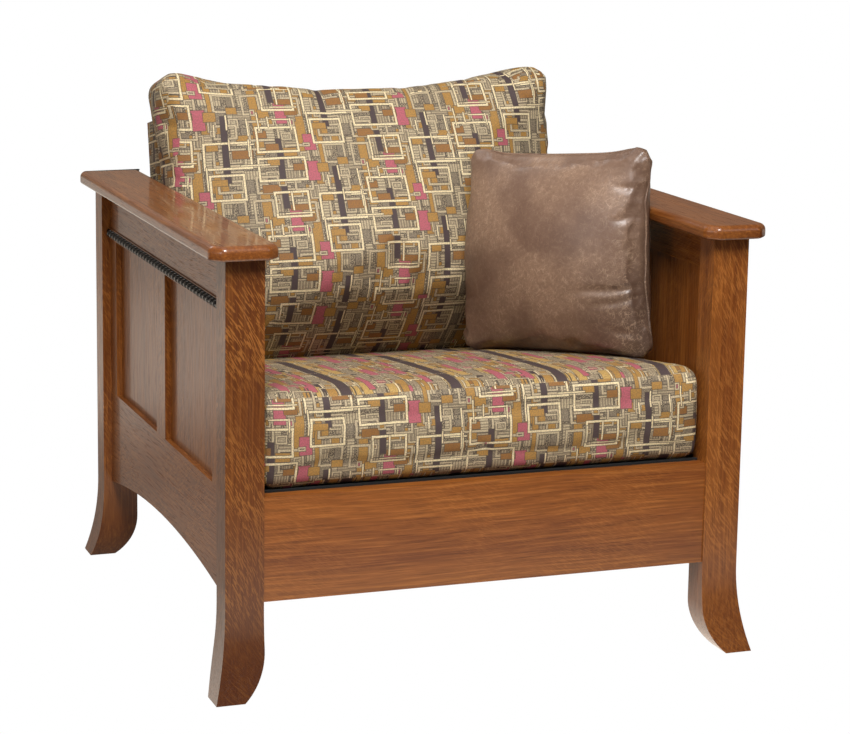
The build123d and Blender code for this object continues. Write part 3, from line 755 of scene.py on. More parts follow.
@dataclass
class Finishes:
    """Every material of the chair."""

    oak: dict[tuple[Grain, Board], bpy.types.Material] = field(default_factory=dict)
    plain: dict[str, bpy.types.Material] = field(default_factory=dict)
    first_seed: float = 0.37
    next_seed: float = 1.31
    # The seat top's runs: woven pattern, with painted golden sheen in the first set's gold.
    runs: tuple[Weft, ...] = (
        Weft(9, 2, (11, 52), (16.5, 80), 0.88, ("sheen_gold", "ochre", "stone", "sheen_gold"), drop=(0.35, 0.22)),
        Weft(3, 2, (9, 44), (19, 76), 0.70, ("berry", "pale", "berry"), drop=(0.63, 0.41)),
        Weft(9, 4, (1.8, 18), (2.6, 38), 0.55, ("pale", "cream", "ink"), drop=(0.18, 0.77)),
        Weft(4, 4, (12, 16), (34, 38), 0.40, (), "pale", 2.4, (0.52, 0.31)),
        Weft(1, 1, (13, 160), (16, 164), 1.0, ("plum",), drop=(0.05, 0.0)),
    )

    def build(self) -> "Finishes":
        """Makes them all.

        Returns:
            This set, filled.
        """
        for grain in Grain:
            for number, board in enumerate(Board):
                name = f"oak_{grain.name.lower()}_{number + 1}"
                seed = self.first_seed + number * self.next_seed
                self.oak[grain, board] = OakFinish(name, grain, seed, board).build()
        for finish in (
            PlainFinish("inner_wood", rgb(0.50, 0.34, 0.18), rgb(0.38, 0.24, 0.12)),
            PlainFinish("rope_black", rgb(0.010, 0.010, 0.011), rgb(0.005, 0.005, 0.005), 0.13),
            PlainFinish("deck_cloth", rgb(0.004, 0.004, 0.004), rgb(0.002, 0.002, 0.002), 1.0),
            PlainFinish("webbing", rgb(0.10, 0.09, 0.08), rgb(0.05, 0.045, 0.04), 0.85),
            JacquardFinish("jacquard"),
            JacquardFinish("jacquard_seat", runs=self.runs),
            LeatherFinish("pillow_leather"),
        ):
            self.plain[finish.name] = finish.build()
        return self


@dataclass
class Timber:
    """The frame's nodes: which way the grain runs, and which board or plain finish each gets."""

    nodes: Nodes
    finishes: Finishes
    upright: tuple[str, ...] = ("post", "stile", "mullion", "panel")
    across: tuple[str, ...] = ("front_rail", "back_rail", "support_rail")
    unstained: tuple[tuple[str, str], ...] = (
        ("deck_slat", "inner_wood"),
        ("deck_cleat", "inner_wood"),
        ("front_ledger", "inner_wood"),
        ("back_foot", "inner_wood"),
        ("back_frame", "inner_wood"),
        ("arm_dowels", "inner_wood"),
        ("rope", "rope_black"),
        ("deck_pad", "deck_cloth"),
        ("back_web", "webbing"),
    )
    flecked: str = "front_post_left"
    eased: float = 0.0014

    def build(self) -> list[bpy.types.Object]:
        """Gives every node its material, and the stained ones eased edges.

        Returns:
            The nodes.
        """
        for number, (name, node) in enumerate(sorted(self.nodes.items())):
            plain = [finish for start, finish in self.unstained if name.startswith(start)]
            if plain:
                paint(node, self.finishes.plain[plain[0]])
            else:
                board = Board.FLECKED if name == self.flecked else (Board.CALM, Board.RAYED)[number % 2]
                paint(node, self.finishes.oak[self._grain(name), board])
                ease(node, self.eased)
        return list(self.nodes.values())

    def _grain(self, name: str) -> Grain:
        """The axis that a node's grain follows.

        Args:
            name: the node's name.

        Returns:
            The axis.
        """
        if any(word in name for word in self.upright):
            return Grain.UPRIGHT
        if any(word in name for word in self.across):
            return Grain.ACROSS
        return Grain.DEPTH


def paint(made: bpy.types.Object, material: bpy.types.Material) -> None:
    """Replaces an object's materials by one."""
    made.data.materials.clear()
    made.data.materials.append(material)


def ease(made: bpy.types.Object, width: float) -> None:
    """Rounds an object's sharp edges a little.

    Args:
        made: the object.
        width: how far the rounding reaches.
    """
    bevel = made.modifiers.new("eased edges", "BEVEL")
    bevel.width = width
    bevel.segments = 2
    bevel.limit_method = "ANGLE"
    bevel.angle_limit = EASED_ANGLE
    bevel.harden_normals = False


def link(name: str, mesh: bpy.types.Mesh, material: bpy.types.Material, body: str) -> bpy.types.Object:
    """Puts a mesh in the scene as a piece of the chair.

    Args:
        name: the piece's name.
        mesh: its mesh, in the chair's frame.
        material: what it is made of.
        body: the body that carries it.

    Returns:
        The new object.
    """
    made = bpy.data.objects.new(name, mesh)
    bpy.context.scene.collection.objects.link(made)
    paint(made, material)
    mesh.shade_smooth()
    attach(made, body)
    return made


@dataclass
class ArmBoard:
    """One arm: a clipped board whose upper edge is rounded right over."""

    side: Side
    nodes: Nodes
    finishes: Finishes
    corner: float = 0.005
    corner_steps: int = 4
    over: float = 0.0095
    over_steps: int = 6
    under: float = 0.004
    under_steps: int = 3
    flat: float = 1e-5

    def build(self) -> list[bpy.types.Object]:
        """Makes the arm that stands for the plain one.

        Returns:
            The arm.
        """
        name = f"arm_board_{self.side.value}"
        low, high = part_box(name)
        work = bmesh.new()
        work.faces.new([work.verts.new((x, y, low.z)) for x, y in self._plan(name)])
        top = bmesh.ops.extrude_face_region(work, geom=work.faces[:])["geom"]
        raised = [item for item in top if isinstance(item, bmesh.types.BMVert)]
        bmesh.ops.translate(work, vec=(0.0, 0.0, high.z - low.z), verts=raised)
        upright = [e for e in work.edges if abs(e.verts[0].co.z - e.verts[1].co.z) > self.flat]
        self._round(work, upright, self.corner, self.corner_steps)
        for height, width, steps in ((high.z, self.over, self.over_steps), (low.z, self.under, self.under_steps)):
            rim = [e for e in work.edges if all(abs(v.co.z - height) < self.flat for v in e.verts)]
            self._round(work, rim, width, steps)
        bmesh.ops.recalc_face_normals(work, faces=work.faces)
        mesh = bpy.data.meshes.new(f"arm_{self.side.value}")
        work.to_mesh(mesh)
        work.free()
        # The right arm gets the darker board: its tint is painted shade.
        board = Board.RIGHT_ARM if self.side is Side.RIGHT else Board.LEFT_ARM
        oak = self.finishes.oak[Grain.DEPTH, board]
        made = link(f"arm_rounded_{self.side.value}", mesh, oak, "frame")
        made.modifiers.new("normals", "WEIGHTED_NORMAL")
        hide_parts(name)
        return [made]

    def _plan(self, name: str) -> list[tuple[float, float]]:
        """The board's outline from above."""
        points = [(v.co.x, v.co.y) for v in self.nodes[name].data.vertices]
        return [points[i] for i in convex_hull_2d(points)]

    def _round(self, work: bmesh.types.BMesh, edges: list[bmesh.types.BMEdge], width: float, steps: int) -> None:
        """Rounds some edges of the board."""
        bmesh.ops.bevel(work, geom=edges, offset=width, segments=steps, profile=0.5, affect="EDGES")


@dataclass
class Rope:
    """Twisted half-round moulding along one side of the chair."""

    side: Side
    finishes: Finishes
    twists: int = 40
    along: int = 12
    facets: int = 10
    lay: float = 1.6
    crest: float = 1.22
    groove: float = 0.55
    stand_out: float = 1.15
    bead: float = 0.0022
    bead_wide: float = 1.4
    bead_off: float = 0.7
    bead_out: float = 0.3
    bead_eased: float = 0.3

    def build(self) -> list[bpy.types.Object]:
        """Makes the twisted moulding that stands for the plain one, and its beads.

        Returns:
            The rope and the beads.
        """
        name = f"rope_moulding_{self.side.value}"
        low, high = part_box(name)
        sign = 1.0 if self.side is Side.RIGHT else -1.0
        flat = low.x if self.side is Side.RIGHT else high.x
        centre = (low.z + high.z) / 2
        radius = (high.z - low.z) / 2
        rings, wide = self.twists * self.along, self.facets + 1
        verts, faces = [], []
        for ring in range(rings + 1):
            y = low.y + (high.y - low.y) * ring / rings
            for number in range(wide):
                angle = math.pi * number / self.facets
                phase = 2 * math.pi * ring / self.along + angle * self.lay * sign
                swell = self.crest - self.groove * (0.5 - 0.5 * math.cos(phase)) ** 2
                out = flat + sign * radius * swell * math.sin(angle) * self.stand_out
                verts.append((out, y, centre + radius * swell * math.cos(angle)))
        for ring in range(rings):
            for number in range(self.facets):
                a = ring * wide + number
                faces.append((a, a + 1, a + wide + 1, a + wide))
        faces.append(tuple(range(wide)))
        faces.append(tuple(rings * wide + i for i in reversed(range(wide))))
        mesh = bpy.data.meshes.new(f"rope_{self.side.value}")
        mesh.from_pydata(verts, [], faces)
        tidy_normals(mesh)
        black = self.finishes.plain["rope_black"]
        made = link(f"rope_twist_{self.side.value}", mesh, black, "frame")
        beads = self._beads(flat, sign, low, high)
        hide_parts(name)
        return [made, beads]

    def _beads(self, flat: float, sign: float, low: Vector, high: Vector) -> bpy.types.Object:
        """Makes the two slim beads of oak that hold the rope between them.

        Args:
            flat: where the rail's face lies.
            sign: 1 on the right and -1 on the left.
            low, high: corners of the rope's box.

        Returns:
            The beads.
        """
        work = bmesh.new()
        for height in (low.z - self.bead * self.bead_off, high.z + self.bead * self.bead_off):
            matrix = Matrix.LocRotScale(
                Vector((flat + sign * self.bead * self.bead_out, (low.y + high.y) / 2, height)),
                None,
                Vector((self.bead * self.bead_wide, high.y - low.y, self.bead)),
            )
            bmesh.ops.create_cube(work, size=1.0, matrix=matrix)
        mesh = bpy.data.meshes.new(f"rope_beads_{self.side.value}")
        work.to_mesh(mesh)
        work.free()
        oak = self.finishes.oak[Grain.DEPTH, Board.RAYED]
        made = link(f"rope_beads_{self.side.value}", mesh, oak, "frame")
        mesh.shade_flat()
        ease(made, self.bead * self.bead_eased)
        return made


def tidy_normals(mesh: bpy.types.Mesh) -> None:
    """Turns every face outwards.

    Args:
        mesh: the mesh to mend.
    """
    work = bmesh.new()
    work.from_mesh(mesh)
    bmesh.ops.recalc_face_normals(work, faces=work.faces)
    work.to_mesh(mesh)
    work.free()


def step(value: np.ndarray, low: float, high: float) -> np.ndarray:
    """Smooth step.

    Args:
        value: what is tested.
        low: value that gives 0.
        high: value that gives 1.

    Returns:
        Values from 0 to 1.
    """
    share = np.clip((value - low) / (high - low), 0.0, 1.0)
    return share * share * (3.0 - 2.0 * share)


@dataclass
class Pose:
    """A cushion's own axes: across, up the cover, and out of its face."""

    origin: Vector
    across: Vector
    up: Vector
    out: Vector

    def local(self, points: np.ndarray) -> np.ndarray:
        """Points of the chair's frame in the cushion's axes."""
        axes = np.array([self.across, self.up, self.out])
        return (points - np.array(self.origin)) @ axes.T

    def world(self, points: np.ndarray) -> np.ndarray:
        """Points of the cushion's axes in the chair's frame."""
        axes = np.array([self.across, self.up, self.out])
        return points @ axes + np.array(self.origin)


def read_points(mesh: bpy.types.Mesh) -> np.ndarray:
    """A mesh's vertices as rows.

    Args:
        mesh: the mesh.

    Returns:
        One row of x, y and z to a vertex.
    """
    flat = np.zeros(len(mesh.vertices) * 3)
    mesh.vertices.foreach_get("co", flat)
    return flat.reshape(-1, 3)


def write_points(mesh: bpy.types.Mesh, points: np.ndarray) -> None:
    """Moves a mesh's vertices."""
    mesh.vertices.foreach_set("co", points.ravel())
    mesh.update()


@dataclass
class Cushion:
    """A stuffed piece grown from its CAD solid: remeshed, puffed out and covered."""

    nodes: Nodes
    finishes: Finishes
    node: str = ""
    body: str = ""
    finish: str = ""
    slot: str = ""
    fill: float = 0.9
    voxel: float = 0.007
    pressure: float = 4.0
    slack: float = 0.03
    relax: int = 6
    relax_share: float = 0.5
    frames: int = 20
    limit: float = 0.009
    quality: int = 6
    mass: float = 0.3
    stretch: float = 15.0
    shear: float = 5.0
    bending: float = 0.4
    pose: Pose = field(init=False)

    def __post_init__(self) -> None:
        """Finds the cushion's axes."""
        self.pose = self.axes(*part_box(self.node))

    def axes(self, low: Vector, high: Vector) -> Pose:
        """The cushion's axes; those of the chair, unless a cushion leans.

        Args:
            low, high: corners of the solid's box.

        Returns:
            The axes.
        """
        return Pose((low + high) / 2, Vector((1.0, 0.0, 0.0)), Vector((0.0, 1.0, 0.0)), Vector((0.0, 0.0, 1.0)))

    def shape(self, rest: np.ndarray) -> np.ndarray:
        """The form before the cover puffs out; a cushion may change it."""
        return rest

    def keep(self, moved: np.ndarray, rest: np.ndarray) -> np.ndarray:
        """The form after the cover has puffed out; a cushion may change it."""
        return moved

    def build(self) -> list[bpy.types.Object]:
        """Makes the cushion.

        Returns:
            The cover, standing for its CAD node.
        """
        mesh = self.nodes[self.node].data.copy()
        mesh.name = f"{self.node}_cover"
        made = link(mesh.name, mesh, self.finishes.plain[self.finish], self.body)
        self._remesh(made)
        found = self.pose.local(read_points(made.data))
        rest = self.shape(found)
        if rest is not found:
            write_points(made.data, self.pose.world(rest))
        self._inflate(made, rest)
        self._unwrap(made, rest)
        smooth = made.modifiers.new("smooth", "SUBSURF")
        smooth.levels = smooth.render_levels = 1
        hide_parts(self.node)
        return [made]

    def _remesh(self, made: bpy.types.Object) -> None:
        """Turns the CAD mesh into even, soft-edged cloth.

        Args:
            made: the cover.
        """
        grid = made.modifiers.new("grid", "REMESH")
        grid.mode = "VOXEL"
        grid.voxel_size = self.voxel
        relax = made.modifiers.new("relax", "SMOOTH")
        relax.factor, relax.iterations = self.relax_share, self.relax
        bake(made)

    def _inflate(self, made: bpy.types.Object, rest: np.ndarray) -> None:
        """Lets the cover puff out, then keeps it near the CAD solid.

        Args:
            made: the cover.
            rest: its points before, in the cushion's axes.
        """
        cloth = made.modifiers.new("cloth", "CLOTH")
        settings = cloth.settings
        settings.quality = self.quality
        settings.mass = self.mass
        settings.tension_stiffness = settings.compression_stiffness = self.stretch
        settings.shear_stiffness = self.shear
        settings.bending_stiffness = self.bending
        settings.use_pressure = True
        settings.uniform_pressure_force = self.pressure
        settings.effector_weights.gravity = 0.0
        settings.shrink_min = -self.slack
        cloth.point_cache.frame_start, cloth.point_cache.frame_end = 1, self.frames
        scene = bpy.context.scene
        for frame in range(1, self.frames + 1):
            scene.frame_set(frame)
        bake(made)
        scene.frame_set(1)
        shift = self.pose.local(read_points(made.data)) - rest
        size = np.linalg.norm(shift, axis=1, keepdims=True)
        shift *= np.minimum(1.0, self.limit / np.maximum(size, 1e-9))
        write_points(made.data, self.pose.world(self.keep(rest + shift, rest)))

    def _unwrap(self, made: bpy.types.Object, rest: np.ndarray) -> None:
        """Lays the cloth pattern over face, edges and sides in one run.

        Args:
            made: the cover.
            rest: its points before it was puffed out, in the cushion's axes.
        """
        mesh = made.data
        low, high = rest.min(0), rest.max(0)
        layer = mesh.uv_layers.new(name=CLOTH_MAP)
        axes = np.array([self.pose.across, self.pose.up, self.pose.out])
        for face in mesh.polygons:
            normal = axes @ np.array(face.normal)
            part = self._part(normal)
            for loop in face.loop_indices:
                x, y, z = rest[mesh.loops[loop].vertex_index]
                if part is Part.EDGE:
                    y = (high[1] + (high[2] - z)) if normal[1] > 0 else (low[1] - (high[2] - z))
                elif part is Part.SIDE:
                    x = (high[0] + (high[2] - z)) if normal[0] > 0 else (low[0] - (high[2] - z))
                layer.data[loop].uv = (x, y)

    def _part(self, normal: np.ndarray) -> Part:
        """Which patch a face belongs to.

        Args:
            normal: the way it faces, in the cushion's axes.

        Returns:
            The patch.
        """
        size = np.abs(normal)
        if size[1] > size[2] and size[1] >= size[0]:
            return Part.EDGE
        if size[0] > size[2]:
            return Part.SIDE
        return Part.FACE


def bake(made: bpy.types.Object) -> None:
    """Turns an object's modifiers into plain mesh.

    Args:
        made: the object.
    """
    graph = bpy.context.evaluated_depsgraph_get()
    graph.update()
    mesh = bpy.data.meshes.new_from_object(made.evaluated_get(graph), depsgraph=graph)
    old = made.data
    mesh.name = old.name
    made.modifiers.clear()
    made.data = mesh
    mesh.shade_smooth()
    bpy.data.meshes.remove(old)


@dataclass
class Welt:
    """A cord sewn round a cushion where its two faces meet."""

    made: bpy.types.Object
    cushion: Cushion
    radius: float = 0.0019
    turns: int = 160
    sides: int = 8
    evened: int = 4

    def build(self) -> bpy.types.Object:
        """Makes the cord.

        Returns:
            The cord, in the cushion's own leather.
        """
        ring = self._ring()
        ahead = np.roll(ring, -1, axis=0) - np.roll(ring, 1, axis=0)
        ahead /= np.linalg.norm(ahead, axis=1, keepdims=True)
        out = np.cross(ahead, (0.0, 0.0, 1.0))
        up = np.cross(out, ahead)
        points, faces = [], []
        for number in range(self.turns):
            for side in range(self.sides):
                angle = 2 * math.pi * side / self.sides
                spoke = out[number] * math.cos(angle) + up[number] * math.sin(angle)
                points.append(ring[number] + self.radius * spoke)
                here, there = number * self.sides, (number + 1) % self.turns * self.sides
                beside = (side + 1) % self.sides
                faces.append((here + side, here + beside, there + beside, there + side))
        flat = np.array(points)
        mesh = bpy.data.meshes.new(f"{self.cushion.node}_welt")
        mesh.from_pydata([tuple(p) for p in self.cushion.pose.world(flat)], [], faces)
        tidy_normals(mesh)
        layer = mesh.uv_layers.new(name=CLOTH_MAP)
        for loop in mesh.loops:
            layer.data[loop.index].uv = flat[loop.vertex_index][:2]
        leather = self.cushion.finishes.plain[self.cushion.finish]
        return link(mesh.name, mesh, leather, self.cushion.body)

    def _ring(self) -> np.ndarray:
        """Finds the cushion's widest line.

        Returns:
            Points round it, in the cushion's axes.
        """
        points = self.cushion.pose.local(read_points(self.made.data))
        size = np.abs(points).max(axis=0)
        angle = np.arctan2(points[:, 1] / size[1], points[:, 0] / size[0])
        reach = np.hypot(points[:, 0] / size[0], points[:, 1] / size[1])
        nearest = np.round((angle + math.pi) / (2 * math.pi) * self.turns).astype(int) % self.turns
        ring = np.array([points[nearest == i][reach[nearest == i].argmax()] for i in range(self.turns)])
        for _ in range(self.evened):
            ring = 0.5 * ring + 0.25 * (np.roll(ring, 1, axis=0) + np.roll(ring, -1, axis=0))
        return ring


@dataclass
class SeatCushion(Cushion):
    """The seat cushion: its cover runs down over the front."""

    node: str = "seat_cushion"
    body: str = "seat"
    finish: str = "jacquard_seat"
    slot: str = "jacquard"
    fill: float = 0.9
    voxel: float = 0.0065
    pressure: float = 3.0
    slack: float = 0.005
    relax: int = 3
    limit: float = 0.003
    slope: float = math.radians(6.2)
    lift: float = 0.007
    lift_reach: tuple[float, float] = (0.035, 0.04)
    dent: float = 0.010
    dent_reach: tuple[float, float] = (0.31, 0.46)
    dent_above: float = 0.03

    def axes(self, low: Vector, high: Vector) -> Pose:
        """Axes that slope down to the back, from the top of the front.

        Args:
            low, high: corners of the solid's box.

        Returns:
            The axes.
        """
        return Pose(
            Vector((0.0, low.y, high.z)),
            Vector((1.0, 0.0, 0.0)),
            Vector((0.0, math.cos(self.slope), -math.sin(self.slope))),
            Vector((0.0, math.sin(self.slope), math.cos(self.slope))),
        )

    def keep(self, moved: np.ndarray, rest: np.ndarray) -> np.ndarray:
        """Rounds the lower front edge up off the rail, and dents the top under the back cushion.

        Args:
            moved: the cover's points.
            rest: the same points before it puffed out.

        Returns:
            The points in their last place.
        """
        _, y, z = moved.T
        front, foot = y.min(), z.min()
        edge = step(y, front + self.lift_reach[0], front) * step(z, foot + self.lift_reach[1], foot)
        dent = step(y, front + self.dent_reach[0], front + self.dent_reach[1])
        dent = dent * step(z, foot + self.dent_above, z.max())
        return moved + np.stack([0.0 * y, 0.0 * y, self.lift * edge - self.dent * dent], axis=1)


@dataclass
class BackCushion(Cushion):
    """The back cushion: plump low down, with drawn-up ears."""

    node: str = "back_cushion"
    body: str = "back"
    finish: str = "jacquard"
    slot: str = "jacquard"
    fill: float = 0.75
    relax: int = 4
    limit: float = 0.008
    swell: float = 0.052
    swell_height: float = 0.13
    swell_spread: float = 0.12
    foot_round: float = 0.14
    slimmest: float = 0.62
    thinnest: float = 0.02
    side_power: int = 6
    middle: float = 0.1
    levels: int = 40
    swell_from: tuple[float, float] = (0.02, 0.09)
    ear_up: float = 0.004
    ear_out: float = 0.001
    left_ear_in: float = 0.006
    ear_side: tuple[float, float] = (0.70, 0.98)
    ear_top: tuple[float, float] = (0.10, 0.015)
    left: tuple[float, float] = (0.05, 0.2)
    gather: float = 0.0022
    gather_top: tuple[float, float] = (0.075, 0.01)
    gather_waves: tuple[float, float] = (95.0, 31.0)
    fold: float = 0.002
    fold_side: tuple[float, float] = (0.62, 0.95)
    fold_top: tuple[float, float] = (0.14, 0.02)
    fold_waves: float = 210.0
    fold_slant: float = 0.8
    dip: float = 0.004
    dip_side: tuple[float, float] = (0.66, 0.14)
    dip_top: tuple[float, float] = (0.06, 0.01)
    droop: float = 0.012
    droop_height: tuple[float, float] = (0.09, 0.02)
    droop_depth: tuple[float, float] = (0.06, 0.12)

    def axes(self, low: Vector, high: Vector) -> Pose:
        """Axes that lean with the back, from the foot of the front.

        Args:
            low, high: corners of the solid's box.

        Returns:
            The axes.
        """
        return Pose(
            Vector((0.0, low.y, low.z)),
            Vector((1.0, 0.0, 0.0)),
            Vector((0.0, math.sin(RECLINE), math.cos(RECLINE))),
            Vector((0.0, -math.cos(RECLINE), math.sin(RECLINE))),
        )

    def shape(self, rest: np.ndarray) -> np.ndarray:
        """Swells the cushion low down, over a full round foot.

        Args:
            rest: the points of the plain form.

        Returns:
            The points of the full form.
        """
        x, y, z = rest.T
        depth, height = z - z.min(), y - y.min()
        middle = np.abs(x) < self.middle
        levels = np.linspace(0.0, height.max(), self.levels)
        nearest = np.digitize(height, levels) - 1
        bands = (depth[middle & (nearest == i)] for i in range(self.levels))
        now = np.array([band.max(initial=self.thinnest) for band in bands])
        turn = np.clip(self.foot_round - levels, 0.0, self.foot_round)
        drop = self.foot_round - np.sqrt(self.foot_round**2 - turn**2)
        bulge = self.swell * np.exp(-(((levels - self.swell_height) / self.swell_spread) ** 2))
        wanted = np.maximum(now + bulge - drop, now * self.slimmest)
        gain = np.interp(height, levels, wanted / now) - 1.0
        side = 1.0 - (x / np.abs(x).max()) ** self.side_power
        return np.stack([x, y, z + depth * gain * side * step(depth, *self.swell_from)], axis=1)

    def keep(self, moved: np.ndarray, rest: np.ndarray) -> np.ndarray:
        """Draws the top corners up and out, gathers the top seam and lets the foot droop.

        Args:
            moved: the cover's points.
            rest: the same points before it puffed out.

        Returns:
            The points in their last place.
        """
        half, top = rest[:, 0].max(), rest[:, 1].max()
        x, y, z = moved.T
        side, below = np.abs(x) / half, top - y
        corner = step(side, *self.ear_side) * step(below, *self.ear_top)
        waves = np.sin(x * self.gather_waves[0] + 2.0 * np.sin(x * self.gather_waves[1]))
        gather = self.gather * step(below, *self.gather_top) * waves
        folds = np.sin((side * half - self.fold_slant * below) * self.fold_waves)
        fold = self.fold * step(side, *self.fold_side) * step(below, *self.fold_top) * folds
        left = step(-x, *self.left)
        middle, spread = self.dip_side
        dip = self.dip * left * step(below, *self.dip_top) * np.exp(-(((side - middle) / spread) ** 2))
        droop = self.droop * step(y, *self.droop_height) * step(z - z.min(), *self.droop_depth)
        return np.stack(
            [
                x + np.sign(x) * self.ear_out * corner - self.left_ear_in * corner * left,
                y + self.ear_up * corner - dip - droop,
                z + gather + fold,
            ],
            axis=1,
        )


@dataclass(frozen=True)
class Crease:
    """A crease pressed into the pillow, its ends in shares of the half sides."""

    start: tuple[float, float]
    end: tuple[float, float]
    deep: float
    wide: float
    wave: float = 0.02
    waves: float = 9.0
    fade_in: float = 0.12
    fade_out: float = 0.4

    def depth(self, across: np.ndarray, up: np.ndarray) -> np.ndarray:
        """How deep the crease is.

        Args:
            across, up: places on the face, in shares of the half sides.

        Returns:
            Depths in metres.
        """
        along = np.array(self.end) - np.array(self.start)
        length = np.hypot(*along)
        along = along / length
        run = (across - self.start[0]) * along[0] + (up - self.start[1]) * along[1]
        off = (up - self.start[1]) * along[0] - (across - self.start[0]) * along[1]
        off = off - self.wave * np.sin(run * self.waves)
        ends = step(run, 0.0, self.fade_in) * step(run, length, length * self.fade_out)
        return self.deep * np.exp(-((off / self.wide) ** 2)) * ends


@dataclass
class ThrowPillow(Cushion):
    """The leather throw pillow, with its welt."""

    node: str = "throw_pillow"
    body: str = "pillow"
    finish: str = "pillow_leather"
    slot: str = "pillow_leather"
    fill: float = 0.6
    voxel: float = 0.0052
    relax: int = 7
    limit: float = 0.006
    yaw: float = math.radians(58.0)
    lean: float = math.radians(4.0)
    roll: float = math.radians(5.3)
    corner: float = 0.003
    corner_from: float = 0.6
    slump_in: float = 0.018
    slump_from: float = -0.4
    slump_down: float = 0.005
    sag: float = 0.004
    sag_from: float = 0.4
    front: float = 0.01
    creases: tuple[Crease, ...] = (
        Crease((1.0, -0.30), (0.30, -0.42), 0.006, 0.030),
        Crease((1.0, -0.38), (0.45, -0.56), 0.004, 0.024),
        Crease((1.0, 0.38), (0.72, 0.30), 0.005, 0.035),
        Crease((1.0, 0.62), (0.70, 0.66), 0.004, 0.030),
        Crease((0.95, -0.75), (0.60, -0.70), 0.003, 0.030),
        Crease((-1.0, -0.55), (-0.60, -0.45), 0.002, 0.030),
    )

    def axes(self, low: Vector, high: Vector) -> Pose:
        """Axes turned between the back cushion and the right arm.

        Args:
            low, high: corners of the solid's box.

        Returns:
            The axes.
        """
        flat = math.cos(self.lean)
        out = Vector((-math.sin(self.yaw) * flat, -math.cos(self.yaw) * flat, math.sin(self.lean)))
        level = Vector((math.cos(self.yaw), -math.sin(self.yaw), 0.0))
        rise = out.cross(level)
        across = level * math.cos(self.roll) + rise * math.sin(self.roll)
        return Pose((low + high) / 2, across, out.cross(across), out)

    def keep(self, moved: np.ndarray, rest: np.ndarray) -> np.ndarray:
        """Draws the corners out, lets the top slump and creases the leather towards the arm.

        Args:
            moved: the cover's points.
            rest: the same points before it puffed out.

        Returns:
            The points in their last place.
        """
        x, y, z = moved.T
        across, up = x / np.abs(rest[:, 0]).max(), y / np.abs(rest[:, 1]).max()
        corner = step(np.abs(across), self.corner_from, 1.0) * step(np.abs(up), self.corner_from, 1.0)
        depth = np.zeros_like(z)
        for crease in self.creases:
            depth += crease.depth(across, up)
        inward = self.slump_in * step(up, self.slump_from, 1.0) * step(-across, 0.0, 1.0)
        sag = self.sag * (1.0 - across**2) * step(-up, self.sag_from, 1.0)
        sink = self.slump_down * step(up, 0.0, 1.0) + sag
        return np.stack(
            [
                x + np.sign(x) * self.corner * corner + inward,
                y + np.sign(y) * self.corner * corner - sink,
                z - depth * step(z, 0.0, self.front),
            ],
            axis=1,
        )

    def build(self) -> list[bpy.types.Object]:
        """Makes the pillow and sews its welt on.

        Returns:
            The cover and the welt.
        """
        made = super().build()
        return [*made, Welt(made[0], self).build()]


@dataclass
class CoveredBack:
    """The padding of the back and the board behind it, both under the jacquard."""

    nodes: Nodes
    finishes: Finishes
    pad: str = "back_pad"
    board: str = "outside_back"
    fill: float = 0.9
    sideways: float = 0.7

    def build(self) -> list[bpy.types.Object]:
        """Covers both.

        Returns:
            The nodes.
        """
        made = [self.nodes[self.pad], self.nodes[self.board]]
        for node in made:
            self._cover(node)
        return made

    def _cover(self, node: bpy.types.Object) -> None:
        """Lays the jacquard over one node.

        Args:
            node: the node.
        """
        mesh = node.data
        up = Vector((0.0, math.sin(RECLINE), math.cos(RECLINE)))
        paint(node, self.finishes.plain["jacquard"])
        layer = mesh.uv_layers[0] if mesh.uv_layers else mesh.uv_layers.new(name=CLOTH_MAP)
        for face in mesh.polygons:
            sideways = abs(face.normal.x) > self.sideways
            for loop in face.loop_indices:
                point = mesh.vertices[mesh.loops[loop].vertex_index].co
                layer.data[loop].uv = (point.y if sideways else point.x, point.dot(up))


